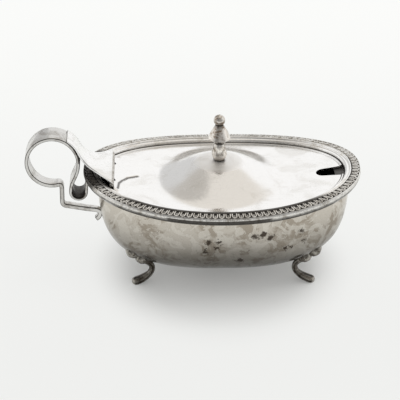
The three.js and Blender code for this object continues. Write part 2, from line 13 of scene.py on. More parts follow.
import bmesh
import bpy
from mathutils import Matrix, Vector


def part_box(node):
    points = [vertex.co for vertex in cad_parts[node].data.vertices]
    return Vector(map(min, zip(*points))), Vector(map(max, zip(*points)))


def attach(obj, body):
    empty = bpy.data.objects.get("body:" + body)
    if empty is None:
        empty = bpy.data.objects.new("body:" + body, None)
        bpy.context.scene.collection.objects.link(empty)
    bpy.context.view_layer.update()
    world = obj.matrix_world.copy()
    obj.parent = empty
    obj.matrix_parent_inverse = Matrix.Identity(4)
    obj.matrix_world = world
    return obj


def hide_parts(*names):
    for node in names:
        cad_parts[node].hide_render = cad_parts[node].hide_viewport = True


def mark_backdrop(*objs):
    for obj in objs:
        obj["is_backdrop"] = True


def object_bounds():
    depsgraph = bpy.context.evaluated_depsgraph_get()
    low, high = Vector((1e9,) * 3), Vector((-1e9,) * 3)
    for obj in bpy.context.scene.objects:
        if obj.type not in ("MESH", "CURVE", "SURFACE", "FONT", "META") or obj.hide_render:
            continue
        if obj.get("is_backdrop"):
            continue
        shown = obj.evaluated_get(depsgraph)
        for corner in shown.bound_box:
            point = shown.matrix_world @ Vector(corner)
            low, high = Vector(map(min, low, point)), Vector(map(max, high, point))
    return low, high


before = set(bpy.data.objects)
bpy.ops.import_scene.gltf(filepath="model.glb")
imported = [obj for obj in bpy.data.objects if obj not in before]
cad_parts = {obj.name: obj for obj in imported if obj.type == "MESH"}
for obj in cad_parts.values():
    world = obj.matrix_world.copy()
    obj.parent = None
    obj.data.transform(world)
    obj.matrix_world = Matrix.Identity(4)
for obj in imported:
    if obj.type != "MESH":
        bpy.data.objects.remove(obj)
cad_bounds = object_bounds()

# %% [markdown]
# ## Sizes
# The rim is an oval a little squarer than an ellipse, and it rises towards both ends like a boat's
# gunwale. The bowl, the lid's seat and the lid all follow it, so they share these few formulas.

# %% Rim formulas
MM = 0.001
BORDER_LOW, BORDER_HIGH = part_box("rim_border")
CENTRE_X = (BORDER_LOW.x + BORDER_HIGH.x) / 2 / MM
RIM_A = (BORDER_HIGH.x - BORDER_LOW.x) / 2 / MM
RIM_B = (BORDER_HIGH.y - BORDER_LOW.y) / 2 / MM
RIM_Z = 54.3
SHEER = 5.3
OVAL_POWER = 2.15
COLUMNS = 240
GAP = 0.3


def place(point):
    """Millimetres round the rim's centre, as metres in the frame."""
    return Vector(((point[0] + CENTRE_X) * MM, point[1] * MM, point[2] * MM))


def sheer(x):
    """How much higher the rim is at x than at the middle."""
    return SHEER * (x / RIM_A) ** 2


def oval(half_length, half_width, turn, centre_x=0.0, power=OVAL_POWER):
    """Point of the oval at that turn, as (x, y)."""
    c, s = math.cos(turn), math.sin(turn)
    size = (abs(c) ** power + abs(s) ** power) ** (-1 / power)
    return centre_x + half_length * c * size, half_width * s * size


def even_turns(count):
    return [2 * math.pi * i / count for i in range(count)]


def rim_ring(inset, height, turns):
    """A ring of the rim, so far in from its outermost edge and so far from the border's top."""
    ring = []
    for turn in turns:
        x, y = oval(RIM_A - inset, RIM_B - inset, turn)
        ring.append((x, y, RIM_Z + height + sheer(x)))
    return ring


def lerp(a, b, share):
    return a + (b - a) * share


def smooth_step(share):
    share = min(max(share, 0.0), 1.0)
    return share * share * (3 - 2 * share)


def fade(value, start, end):
    """0 where value is at start, 1 where it is at end, and a soft change between them."""
    return smooth_step((value - start) / (end - start))


def arc(centre, radius, start, end, steps):
    """Points of an arc in a section, angles in degrees."""
    points = []
    for i in range(steps + 1):
        angle = math.radians(lerp(start, end, i / steps))
        points.append((centre[0] + radius * math.cos(angle), centre[1] + radius * math.sin(angle)))
    return points


def through(points, steps):
    """A smooth curve through the points, with that many steps from each one to the next."""
    curve = []
    for i in range(len(points) - 1):
        before = points[max(i - 1, 0)]
        after = points[min(i + 2, len(points) - 1)]
        for k in range(steps):
            t = k / steps
            mixed = []
            for p0, p1, p2, p3 in zip(before, points[i], points[i + 1], after):
                bend = 2 * p0 - 5 * p1 + 4 * p2 - p3
                twist = 3 * p1 - p0 - 3 * p2 + p3
                mixed.append(0.5 * (2 * p1 + (p2 - p0) * t + bend * t * t + twist * t ** 3))
            curve.append(tuple(mixed))
    curve.append(tuple(points[-1]))
    return curve


print(f"rim {2 * RIM_A:.1f} x {2 * RIM_B:.1f} mm, centre at x = {CENTRE_X:.2f} mm")

# %% [markdown]
# ## Meshes
# Nearly every piece is a closed skin over a list of rings. Each point keeps a value that darkens it,
# 1 where dirt and tarnish lodge and 0 where fingers and polishing cloths rub the metal bright. The same
# value also carries painted shade where shade falls: below the bridge, on the strips' sides, inside
# the curl and on the border's underside.

# %% Mesh helpers
SHARP_ANGLE = math.radians(40)


def into_scene(name, data):
    """A new object of the scene with that mesh, lamp or camera."""
    obj = bpy.data.objects.new(name, data)
    bpy.context.scene.collection.objects.link(obj)
    return obj


class Skin:
    """Points, faces and recess values of one piece, in millimetres."""

    def __init__(self):
        self.points = []
        self.faces = []
        self.dirt_and_shade = []

    def add_points(self, points, dirt_and_shade=0.0):
        start = len(self.points)
        self.points.extend(points)
        self.dirt_and_shade.extend([dirt_and_shade] * len(points))
        return start

    def loft(self, rings, recesses=None, wrap=False):
        """A skin through the rings; ends are closed by fans, or joined to each other with wrap."""
        columns = len(rings[0])
        starts = []
        for i, ring in enumerate(rings):
            starts.append(self.add_points(ring, recesses[i] if recesses else 0.0))
        spans = len(rings) if wrap else len(rings) - 1
        for i in range(spans):
            low, high = starts[i], starts[(i + 1) % len(rings)]
            for j in range(columns):
                after = (j + 1) % columns
                self.faces.append((low + j, low + after, high + after, high + j))
        if not wrap:
            for start, ring in ((starts[0], rings[0]), (starts[-1], rings[-1])):
                centre = tuple(sum(p[axis] for p in ring) / columns for axis in range(3))
                tip = self.add_points([centre], self.dirt_and_shade[start])
                for j in range(columns):
                    self.faces.append((start + j, start + (j + 1) % columns, tip))

    def moved(self, change):
        """The same skin with every point put through a function."""
        copy = Skin()
        copy.points = [change(p) for p in self.points]
        copy.faces = list(self.faces)
        copy.dirt_and_shade = list(self.dirt_and_shade)
        return copy

    def build(self, name, to_frame=place):
        """A mesh object in the frame, faces outwards, smooth except at sharp edges."""
        mesh = bpy.data.meshes.new(name)
        mesh.from_pydata([to_frame(p) for p in self.points], [], self.faces)
        values = mesh.attributes.new("dirt_and_shade", "FLOAT", "POINT")
        values.data.foreach_set("value", self.dirt_and_shade)
        tidy(mesh)
        return into_scene(name, mesh)


def tidy(mesh):
    """Turns all faces outwards and shades them smooth except at sharp edges."""
    bm = bmesh.new()
    bm.from_mesh(mesh)
    bmesh.ops.recalc_face_normals(bm, faces=bm.faces)
    bm.to_mesh(mesh)
    bm.free()
    mesh.shade_smooth()
    mesh.set_sharp_from_angle(angle=SHARP_ANGLE)


def evaluated(obj, name):
    """The object as its modifiers leave it, as a new plain object in its place."""
    graph = bpy.context.evaluated_depsgraph_get()
    mesh = bpy.data.meshes.new_from_object(obj.evaluated_get(graph))
    mesh.name = name
    bpy.data.objects.remove(obj)
    return into_scene(name, mesh)


def hand_over(obj, body, material, slot, *nodes):
    """Gives the piece its finish, and has it ride its body in place of its CAD nodes."""
    obj.data.materials.clear()
    obj.data.materials.append(material)
    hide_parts(*nodes)
    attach(obj, body)
    print(obj.name, len(obj.data.polygons), "faces on", body)


# %% [markdown]
# ## Silver plate
# All pieces are silver over brass or nickel silver. Polished plate is almost colourless; in air it
# turns warm grey in clouds, dirt stays in the hollows, and use leaves fine scratches. One recipe
# makes every finish: clean colour, tarnish colour, how much of each, roughness and fine relief.

# %% Shader helpers
def add(tree, kind, inputs=None, **settings):
    """A new node; inputs are numbers, colours or other nodes' outputs, by socket name or number."""
    made = tree.nodes.new(kind)
    for name, value in settings.items():
        setattr(made, name, value)
    for name, value in (inputs or {}).items():
        if isinstance(value, bpy.types.NodeSocket):
            tree.links.new(value, made.inputs[name])
        else:
            made.inputs[name].default_value = value
    return made


def empty_tree(owner):
    """The node tree of a material or a world, with nothing in it."""
    owner.use_nodes = True
    owner.node_tree.nodes.clear()
    return owner.node_tree


def between(tree, value, low, high, to_low=0.0, to_high=1.0):
    """Maps value softly from low..high to to_low..to_high."""
    wanted = {"Value": value, "From Min": low, "From Max": high, "To Min": to_low, "To Max": to_high}
    return add(tree, "ShaderNodeMapRange", wanted, interpolation_type="SMOOTHSTEP").outputs["Result"]


def maths(tree, operation, a, b=0.0, clamp=False):
    return add(tree, "ShaderNodeMath", {0: a, 1: b}, operation=operation, use_clamp=clamp).outputs[0]


def vector_maths(tree, operation, output, inputs):
    return add(tree, "ShaderNodeVectorMath", inputs, operation=operation).outputs[output]


def mixed(tree, share, first, second):
    """First colour where share is 0, second where it is 1; inputs 6 and 7 are the colour ones."""
    return add(tree, "ShaderNodeMix", {0: share, 6: first, 7: second}, data_type="RGBA").outputs[2]


def noise(tree, coords, scale, detail=3.0, roughness=0.5, distortion=0.0):
    wanted = {"Vector": coords, "Scale": scale, "Detail": detail, "Roughness": roughness}
    wanted["Distortion"] = distortion
    return add(tree, "ShaderNodeTexNoise", wanted).outputs["Fac"]


def stretched(tree, coords, scale, turn=(0.0, 0.0, 0.0)):
    """Coordinates stretched for scratches and brush marks."""
    wanted = {"Vector": coords, "Scale": scale, "Rotation": turn}
    return add(tree, "ShaderNodeMapping", wanted).outputs["Vector"]


def bump(tree, height, distance, strength=1.0, normal=None):
    wanted = {"Height": height, "Distance": distance, "Strength": strength}
    if normal is not None:
        wanted["Normal"] = normal
    return add(tree, "ShaderNodeBump", wanted).outputs["Normal"]


print("shader helpers ready")

# %% Silver plate recipe
# Colour of the dirt in the hollows, also used for painted shade
DIRT_AND_SHADE_COLOUR = (0.028, 0.022, 0.017, 1.0)
# Colour of the stains, also used for the painted shade along the crease
STAIN_AND_SHADE = (0.035, 0.025, 0.017, 1.0)
STAIN_STRENGTH = 0.92
STAIN_RAGGEDNESS = 0.009      # metres that a stain's edge wanders for each unit of noise
UNDERSIDE_SHADE_TOP = 0.050           # heights in metres between which the underside darkens, as painted shade
UNDERSIDE_SHADE_BOTTOM = 0.018
HAZE_ROUGHNESS = 0.34
CREASE_SHADE = 0.85
CREASE_DEPTH = 0.45


def stained(tree, coords, ragged, colour, spots):
    """Adds round, ragged-edged stains, each (point in the frame, radius in mm)."""
    for point, radius in spots:
        away = vector_maths(tree, "DISTANCE", "Value", {0: coords, 1: point})
        away = maths(tree, "ADD", away, ragged)
        strength = between(tree, away, 0.5 * radius * MM, 1.05 * radius * MM, STAIN_STRENGTH, 0.0)
        colour = mixed(tree, strength, colour, STAIN_AND_SHADE)
    return colour


def away_from_line(tree, coords, points):
    """Distance to a bent line through the points."""
    nearest = None
    for start, end in zip(points, points[1:]):
        along = end - start
        offset = vector_maths(tree, "SUBTRACT", "Vector", {0: coords, 1: start})
        reach = vector_maths(tree, "DOT_PRODUCT", "Value", {0: offset, 1: along / along.length_squared})
        reach = maths(tree, "ADD", reach, 0.0, clamp=True)
        foot = vector_maths(tree, "SCALE", "Vector", {0: along, "Scale": reach})
        away = vector_maths(tree, "DISTANCE", "Value", {0: offset, 1: foot})
        nearest = away if nearest is None else maths(tree, "MINIMUM", nearest, away)
    return nearest


def fine_scratches(tree, coords):
    """Sparse hairlines in two directions, 1 on a hairline and 0 elsewhere."""
    hairs = noise(tree, stretched(tree, coords, (60, 2400, 900), (0.4, 0.2, 0.5)), 1.0, detail=1.0)
    lines = noise(tree, stretched(tree, coords, (1900, 90, 700), (0.1, 0.5, 1.1)), 1.0, detail=1.0)
    return maths(tree, "ADD", between(tree, hairs, 0.66, 0.72), between(tree, lines, 0.68, 0.74))


def silver_plate(name, clean, tarnished, clouds, cloud_size, patchy, rough, grain, scratches, dirt_and_shade_darkness,
                 brushed=0.0, speckle=0.12, low_shade=0.0, spots=(), crease=(), haze=None):
    """Worn silver plate.

    clouds is how much of the surface is tarnished, cloud_size the clouds' size in mm, patchy how
    crisp their edges are, rough the polished roughness, grain and scratches the depth of fine
    relief in mm, dirt_and_shade_darkness how dark the dirt in the hollows and the painted shade are, brushed
    the strength of lengthwise marks, speckle the strength of the fine mottling, and low_shade how
    much darker the underside is, as painted shade.
    spots are stains, crease a dent's line, drawn dark as painted shade, and haze a dull round area,
    (point, radius in mm).
    """
    material = bpy.data.materials.new(name)
    tree = empty_tree(material)
    coords = add(tree, "ShaderNodeTexCoord").outputs["Object"]
    dirt_and_shade = add(tree, "ShaderNodeAttribute", attribute_name="dirt_and_shade").outputs["Fac"]
    wide = noise(tree, coords, 1000 / cloud_size, detail=5.0, roughness=0.62, distortion=0.8)
    broken = noise(tree, coords, 1500 / cloud_size, detail=4.0, roughness=0.55, distortion=2.2)
    fine = noise(tree, coords, 1600.0, detail=3.0, roughness=0.65)
    darkest = tuple(0.5 * value for value in tarnished)

    # Clouds of tarnish, with patches inside them whose edges are crisp and a little darker
    cloudy = between(tree, wide, 0.62 - 0.3 * clouds, 0.72 - 0.2 * clouds)
    patches = maths(tree, "MULTIPLY", between(tree, broken, 0.48, 0.5), patchy)
    veil = maths(tree, "MULTIPLY", cloudy, maths(tree, "ADD", patches, 1 - patchy))
    share = maths(tree, "ADD", veil, maths(tree, "MULTIPLY", patches, 0.4), clamp=True)
    colour = mixed(tree, share, (*clean, 1.0), (*tarnished, 1.0))
    from_edge = maths(tree, "ABSOLUTE", maths(tree, "SUBTRACT", broken, 0.49))
    colour = mixed(tree, between(tree, from_edge, 0.0, 0.008, 0.6 * patchy, 0.0), colour, (*darkest, 1.0))
    colour = mixed(tree, between(tree, fine, 0.42, 0.68, 0.0, speckle), colour, (*darkest, 1.0))
    # Painted shade: the colour darkens towards the bottom
    if low_shade:
        height = add(tree, "ShaderNodeSeparateXYZ", {"Vector": coords}).outputs["Z"]
        dimmed = between(tree, height, UNDERSIDE_SHADE_TOP, UNDERSIDE_SHADE_BOTTOM, 1.0, 1 - low_shade)
        colour = vector_maths(tree, "SCALE", "Vector", {0: colour, "Scale": dimmed})

    # Dirt in the hollows and painted shade, both from the per-point value, and stains with ragged edges
    dirt_and_shade_mask = between(tree, maths(tree, "ADD", dirt_and_shade, maths(tree, "MULTIPLY", wide, 0.3)), 0.45, 1.15)
    colour = mixed(tree, maths(tree, "MULTIPLY", dirt_and_shade_mask, dirt_and_shade_darkness), colour, DIRT_AND_SHADE_COLOUR)
    blots = noise(tree, coords, 520.0, detail=4.0, roughness=0.7, distortion=0.6)
    ragged = maths(tree, "MULTIPLY", maths(tree, "SUBTRACT", blots, 0.5), STAIN_RAGGEDNESS)
    colour = stained(tree, coords, ragged, colour, spots)

    # Roughness and fine relief
    scratched = fine_scratches(tree, coords)
    streaks = noise(tree, stretched(tree, coords, (60, 2600, 60)), 1.0, detail=3.0)
    uneven = between(tree, wide, 0.3, 0.75, rough, rough + 0.16)
    worn = maths(tree, "ADD", maths(tree, "MULTIPLY", dirt_and_shade_mask, 0.2), maths(tree, "MULTIPLY", scratched, 0.06))
    roughness = maths(tree, "ADD", uneven, worn, clamp=True)
    if haze:
        away = vector_maths(tree, "DISTANCE", "Value", {0: coords, 1: haze[0]})
        dull = between(tree, away, 0.7 * haze[1] * MM, haze[1] * MM, HAZE_ROUGHNESS, 0.0)
        roughness = maths(tree, "ADD", roughness, dull, clamp=True)
    relief = bump(tree, wide, 0.25 * MM, 0.5)
    relief = bump(tree, fine, grain * MM, 1.0, relief)
    relief = bump(tree, streaks, brushed * MM, 1.0, relief)
    relief = bump(tree, scratched, -scratches * MM, 1.0, relief)
    if crease:
        away = away_from_line(tree, coords, crease)
        # The crease's dark line is painted shade; the groove is a bump
        colour = mixed(tree, between(tree, away, 0.2 * MM, 1.1 * MM, CREASE_SHADE, 0.0), colour, STAIN_AND_SHADE)
        valley = between(tree, away, 0.1 * MM, 1.6 * MM, 1.0, 0.0)
        relief = bump(tree, valley, -CREASE_DEPTH * MM, 1.0, relief)
    shader = add(tree, "ShaderNodeBsdfPrincipled", {
        "Base Color": colour, "Roughness": roughness, "Metallic": 1.0, "Normal": relief,
    })
    add(tree, "ShaderNodeOutputMaterial", {"Surface": shader.outputs["BSDF"]})
    return material


print("recipe for silver plate ready")

# %% Finishes
border_finish = silver_plate(
    "border_plate", clean=(0.90, 0.885, 0.85), tarnished=(0.56, 0.53, 0.48), clouds=0.45, cloud_size=5,
    patchy=0.5, rough=0.24, grain=0.06, scratches=0.01, dirt_and_shade_darkness=0.9, speckle=0.5)
seat_finish = silver_plate(
    "seat_plate", clean=(0.97, 0.96, 0.94), tarnished=(0.80, 0.77, 0.72), clouds=0.35, cloud_size=7,
    patchy=0.3, rough=0.1, grain=0.012, scratches=0.01, dirt_and_shade_darkness=0.93, speckle=0.15)
strap_finish = silver_plate(
    "strap_plate", clean=(0.70, 0.69, 0.665), tarnished=(0.46, 0.44, 0.41), clouds=0.55, cloud_size=9,
    patchy=0.35, rough=0.14, grain=0.01, scratches=0.015, dirt_and_shade_darkness=0.97, brushed=0.02)
fan_finish = silver_plate(
    "fan_plate", clean=(0.97, 0.965, 0.95), tarnished=(0.84, 0.83, 0.805), clouds=0.4, cloud_size=10,
    patchy=0.3, rough=0.16, grain=0.01, scratches=0.02, dirt_and_shade_darkness=0.7, brushed=0.02)
finial_finish = silver_plate(
    "finial_plate", clean=(0.90, 0.86, 0.80), tarnished=(0.36, 0.28, 0.21), clouds=0.5, cloud_size=8,
    patchy=0.6, rough=0.1, grain=0.008, scratches=0.008, dirt_and_shade_darkness=0.93)
foot_finish = silver_plate(
    "foot_plate", clean=(0.42, 0.40, 0.36), tarnished=(0.12, 0.105, 0.085), clouds=0.65, cloud_size=5,
    patchy=0.5, rough=0.2, grain=0.03, scratches=0.01, dirt_and_shade_darkness=0.97, speckle=0.4)
hinge_finish = silver_plate(
    "hinge_plate", clean=(0.62, 0.60, 0.56), tarnished=(0.40, 0.37, 0.33), clouds=0.6, cloud_size=5,
    patchy=0.4, rough=0.26, grain=0.015, scratches=0.01, dirt_and_shade_darkness=0.85)
print("seven finishes ready; those of the bowl and the lid follow with their stains and dents")

# %% [markdown]
# ## Bowl
# The bowl is raised from one sheet: a full, rounded section like half a barrel, with a flat-sided
# edge that meets the rim. A superellipse gives that section. Each level is an oval, which grows a
# little squarer and moves a little towards the handle on its way down.

# %% Bowl
BOWL_X = 1.0
BOWL_BOTTOM_X = -0.4
BOWL_BOTTOM_POWER = 2.7
BOWL_BOTTOM_SPEED = 1.5       # the plan has its bottom shape from 1 / 1.5 of the depth down
BOWL_INSET_X = 6.9
BOWL_INSET_Y = 8.4
BOWL_HALF_LENGTH = RIM_A - BOWL_INSET_X
BOWL_HALF_WIDTH = RIM_B - BOWL_INSET_Y
BOWL_TOP = -5.6
BOWL_DEPTH = 47.6
BOWL_POWER = 2.78
BOWL_WALL = 1.2
BOWL_ROWS = 44


def bowl_skin(wall, turns):
    """Rings of the bowl's outer or inner surface, from the bottom up."""
    drop = BOWL_DEPTH + BOWL_TOP - wall
    rings = []
    for i in range(BOWL_ROWS + 1):
        lean = math.pi / 2 * (1 - max(i, 0.2) / BOWL_ROWS)
        spread = math.cos(lean) ** (2 / BOWL_POWER)
        sink = math.sin(lean) ** (2 / BOWL_POWER)
        half_length, half_width = (BOWL_HALF_LENGTH - wall) * spread, (BOWL_HALF_WIDTH - wall) * spread
        centre_x = lerp(BOWL_X, BOWL_BOTTOM_X, sink)
        power = lerp(OVAL_POWER, BOWL_BOTTOM_POWER, smooth_step(sink * BOWL_BOTTOM_SPEED))
        ring = []
        for turn in turns:
            x, y = oval(half_length, half_width, turn, centre_x, power)
            ring.append((x, y, RIM_Z + BOWL_TOP - drop * sink + (1 - sink) ** 2 * sheer(x)))
        rings.append(ring)
    return rings


def make_bowl():
    turns = even_turns(COLUMNS)
    skin = Skin()
    skin.loft(bowl_skin(0.0, turns) + bowl_skin(BOWL_WALL, turns)[::-1])
    return skin.build("bowl_shell")


def bowl_front(x, z):
    """Point of the bowl's near wall at x and height z, in the frame."""
    sink = (RIM_Z + BOWL_TOP - z) / (BOWL_DEPTH + BOWL_TOP)
    spread = (1 - sink ** BOWL_POWER) ** (1 / BOWL_POWER)
    lengthwise = abs((x - BOWL_X) / (BOWL_HALF_LENGTH * spread)) ** OVAL_POWER
    return place((x, -BOWL_HALF_WIDTH * spread * (1 - lengthwise) ** (1 / OVAL_POWER), z))


bowl = make_bowl()
STAINS = [  # x, height and radius of the dark spots on the near wall
    (-9.6, 29.1, 2.1), (-8.0, 34.5, 1.8), (-3.8, 31.3, 1.5), (-2.8, 34.6, 1.7), (7.9, 22.1, 2.1),
    (16.4, 37.6, 2.0), (20.2, 38.6, 1.9), (23.8, 36.9, 2.3), (32.0, 29.6, 2.1), (34.7, 29.6, 1.6),
    (39.7, 38.4, 2.2), (42.1, 32.5, 2.0),
]
bowl_finish = silver_plate(
    "bowl_plate", clean=(0.71, 0.67, 0.60), tarnished=(0.43, 0.38, 0.315), clouds=0.6, cloud_size=16,
    patchy=0.7, rough=0.14, grain=0.012, scratches=0.01, dirt_and_shade_darkness=0.8, low_shade=0.68,
    spots=[(bowl_front(x, z), radius) for x, z, radius in STAINS])
hand_over(bowl, "base", bowl_finish, "tarnished_silver", "bowl")

# %% [markdown]
# ## Lid seat
# Inside the ornament run two plain mouldings, a bead and a flat fillet, and then a hollow down to
# the ledge where the lid rests. It is one drawn strip, soldered to the border and to the bowl.

# %% Lid seat
BORDER_WIDTH = 4.6
BORDER_BOTTOM = -4.4
SEAT_LEDGE_INSET = 13.6
SEAT_WALL_INSET = 8.5
LID_TOP = -2.9
LID_THICKNESS = 1.0
HINGE_X = -58.6
HINGE_Z = 57.2
HINGE_ROOM = 6.0              # the ledge is left out as far as this past the hinge
HINGE_LEDGE = 0.4             # apart from this much beside the wall


def make_lid_seat():
    turns = even_turns(COLUMNS)
    ledge_top = LID_TOP - LID_THICKNESS - GAP
    plate_top = BORDER_BOTTOM - GAP
    plate_bottom = BOWL_TOP + GAP
    inner = BORDER_WIDTH + GAP
    section = [(1.2, plate_bottom, 0.6), (1.2, plate_top, 0.6), (inner, plate_top, 1.0), (inner, -1.1, 0.7)]
    section += [(x, z, 0.0) for x, z in arc((inner + 0.6, -0.75), 0.58, 175, 15, 8)]
    section += [(6.2, -1.05, 0.45), (6.3, -1.05, 0.4)]
    section += [(x, z, 0.0) for x, z in arc((7.1, -2.2), 1.5, 118, 52, 6)]
    section += [(8.25, -1.4, 0.2), (8.4, -2.3, 0.7)]
    section += [(SEAT_WALL_INSET, -3.2, 1.0), (SEAT_WALL_INSET, ledge_top, 1.0)]
    rings = [rim_ring(inset, height, turns) for inset, height, _ in section]
    recesses = [dirt_and_shade for _, _, dirt_and_shade in section]
    wide = rim_ring(SEAT_LEDGE_INSET, 0.0, turns)
    narrow = rim_ring(SEAT_WALL_INSET + HINGE_LEDGE, 0.0, turns)
    for height in (ledge_top, plate_bottom):
        ring = []
        for far, near in zip(wide, narrow):
            x, y, z = near if far[0] < HINGE_X + HINGE_ROOM else far
            ring.append((x, y, z + height))
        rings.append(ring)
        recesses.append(1.0)
    skin = Skin()
    skin.loft(rings, recesses, wrap=True)
    return skin.build("seat_moulding")


NEAR_HOLLOW_SHADE = 1.12           # how many times as dark the hollows of the near side are, as painted shade
BRIDGE_SHADE = 0.9             # least value below the bridge, as painted shade
DARK_STRETCH_X = -3.0         # middle of the painted shadow along the border's near lower edge
DARK_STRETCH_TOP = 2.3        # and how far below the border's top it starts


def paint_shade(obj, near_shade, far_hollow_shade):
    """Paints shade onto the piece: below the bridge, along the near lower edge and in front.

    near_shade is the least value along the near side, and far_hollow_shade how many times as dark the
    hollows of the far side are, both as painted shade.
    """
    for point, value in zip(obj.data.vertices, obj.data.attributes["dirt_and_shade"].data):
        x, y = point.co.x / MM - CENTRE_X, point.co.y / MM
        below_edge = RIM_Z + sheer(x) - point.co.z / MM
        value.value *= lerp(NEAR_HOLLOW_SHADE, far_hollow_shade, fade(y, -15, 25))
        value.value = max(value.value, near_shade * fade(y, -24, -36))
        if y < 0 and below_edge > DARK_STRETCH_TOP:
            value.value = max(value.value, fade(abs(x - DARK_STRETCH_X), 31, 25))
        below_bridge = fade(x, -51, -59) * fade(abs(y), 27, 19)
        value.value = max(value.value, BRIDGE_SHADE * below_bridge)


seat = make_lid_seat()
paint_shade(seat, 0.95, 1.1)
hand_over(seat, "base", seat_finish, "cast_silver", "lid_seat")

# %% [markdown]
# ## Egg-and-dart border
# The border is cast in strips and bent round the rim: a small egg in a raised arch, over and over,
# with a dark cleft between neighbours. One unit is modelled. Geometry nodes set it round the rim at
# an even pitch and press some units a little flatter than others, as on worn castings.

# %% Border: plain strip and one unit
ORNAMENT_UNITS = 116
ORNAMENT_OUTER = (0.75, -1.5)    # inset and height of the trough's floor at its outer side
ORNAMENT_INNER = (4.45, -0.85)   # and at its inner side
EGG_HALF_WIDTH = 0.55
EGG_HALF_LENGTH = 0.95
EGG_SHIFT = 0.1                  # of the egg's middle, inwards
ARCH_HALF_WIDTH = 1.14
ARCH_RISE = 1.1                  # of its round end
ARCH_HALF_THICKNESS = 0.46       # of the strip that makes the arch
ARCH_TOP = 0.72
UNIT_FOOT = -0.1                 # the unit sinks this much below the trough's floor
UNIT_WEAR = 0.3                  # the most that a worn unit is pressed flat
RIM_SAMPLES = 4000


def make_border_strip():
    turns = even_turns(ORNAMENT_UNITS * 3)
    # The values darken the underside and the lower half of the outer band as painted shade, and the trough as
    # dirt
    section = [(0.9, BORDER_BOTTOM, 1.0), (0.45, -4.2, 0.7)]
    outer_band = arc((2.9, -2.6), 2.9, 208, 152, 8)
    section += [(x, z, 0.7 - 0.6 * smooth_step((i - 1) / 5)) for i, (x, z) in enumerate(outer_band)]
    section += [(0.5, -1.02, 0.1), (0.65, -1.1, 0.5), (*ORNAMENT_OUTER, 0.9), (*ORNAMENT_INNER, 0.8)]
    section += [(BORDER_WIDTH, -1.0, 1.0), (BORDER_WIDTH, BORDER_BOTTOM, 1.0)]
    skin = Skin()
    skin.loft([rim_ring(x, z, turns) for x, z, _ in section], [r for _, _, r in section], wrap=True)
    return skin.build("border_strip")


def make_unit():
    """Egg, arch and dart; x along the rim, y outwards, z up from the trough's floor."""
    skin = Skin()
    rings = []
    recesses = []
    for height, size in ((UNIT_FOOT, 1.0), (0.25, 0.95), (0.5, 0.6)):
        half_width, half_length = EGG_HALF_WIDTH * size, EGG_HALF_LENGTH * size
        rings.append([(half_width * math.cos(t), half_length * math.sin(t) - EGG_SHIFT, height)
                      for t in even_turns(8)])
        recesses.append(0.9 - 0.7 * height)
    skin.loft(rings, recesses)
    bow = []
    for degrees in (150, 90, 30):
        angle = math.radians(degrees)
        bow.append((ARCH_HALF_WIDTH * math.cos(angle), 0.55 + ARCH_RISE * math.sin(angle)))
    path = [(-1.12, -1.85), (-1.16, -0.6), *bow, (1.16, -0.6), (1.12, -1.85)]
    rings = []
    for i, (x, y) in enumerate(path):
        ahead = Vector(path[min(i + 1, len(path) - 1)]) - Vector(path[max(i - 1, 0)])
        side = Vector((-ahead.y, ahead.x)).normalized() * ARCH_HALF_THICKNESS
        section = ((1.0, UNIT_FOOT), (0.6, ARCH_TOP), (-0.6, ARCH_TOP), (-1.0, UNIT_FOOT))
        rings.append([(x + side.x * across, y + side.y * across, lift) for across, lift in section])
    start = len(skin.points)
    skin.loft(rings)
    for index in range(start, len(skin.points)):
        skin.dirt_and_shade[index] = 0.9 if skin.points[index][2] < 0 else 0.0
    return skin.build("border_unit", lambda p: Vector(p) * MM)


border_strip = make_border_strip()
border_unit = make_unit()
print("one unit has", len(border_unit.data.polygons), "faces")

# %% Border: points along the rim


def pitch_turns(count):
    """Turns that divide the rim's length evenly."""
    samples = even_turns(RIM_SAMPLES)
    points = [Vector(oval(RIM_A - BORDER_WIDTH / 2, RIM_B - BORDER_WIDTH / 2, turn)) for turn in samples]
    travelled = [0.0]
    for i, point in enumerate(points):
        travelled.append(travelled[-1] + (points[(i + 1) % len(points)] - point).length)
    turns = []
    i = 0
    for k in range(count):
        wanted = travelled[-1] * (k + 0.5) / count
        while travelled[i + 1] <= wanted:
            i += 1
        part = (wanted - travelled[i]) / (travelled[i + 1] - travelled[i])
        turns.append(2 * math.pi * (i + part) / len(samples))
    return turns


def make_border_points():
    """One vertex for each unit, with the directions the unit faces."""
    turns = pitch_turns(ORNAMENT_UNITS)
    outer = rim_ring(*ORNAMENT_OUTER, turns)
    inner = rim_ring(*ORNAMENT_INNER, turns)
    ahead = rim_ring(*ORNAMENT_OUTER, [turn + 0.01 for turn in turns])
    centres, outwards, upwards = [], [], []
    for near, far, after in zip(inner, outer, ahead):
        outward = (Vector(far) - Vector(near)).normalized()
        along = (Vector(after) - Vector(far)).normalized()
        upward = outward.cross(along).normalized()
        centres.append((Vector(near) + Vector(far)) / 2)
        outwards.append(outward)
        upwards.append(upward if upward.z > 0 else -upward)
    mesh = bpy.data.meshes.new("border_points")
    mesh.from_pydata([place(p) for p in centres], [], [])
    for name, values in (("outward", outwards), ("upward", upwards)):
        attribute = mesh.attributes.new(name, "FLOAT_VECTOR", "POINT")
        attribute.data.foreach_set("vector", [number for value in values for number in value])
    return into_scene("border_points", mesh)


border_points = make_border_points()
print(len(border_points.data.vertices), "units round the rim")

# %% Border: geometry nodes


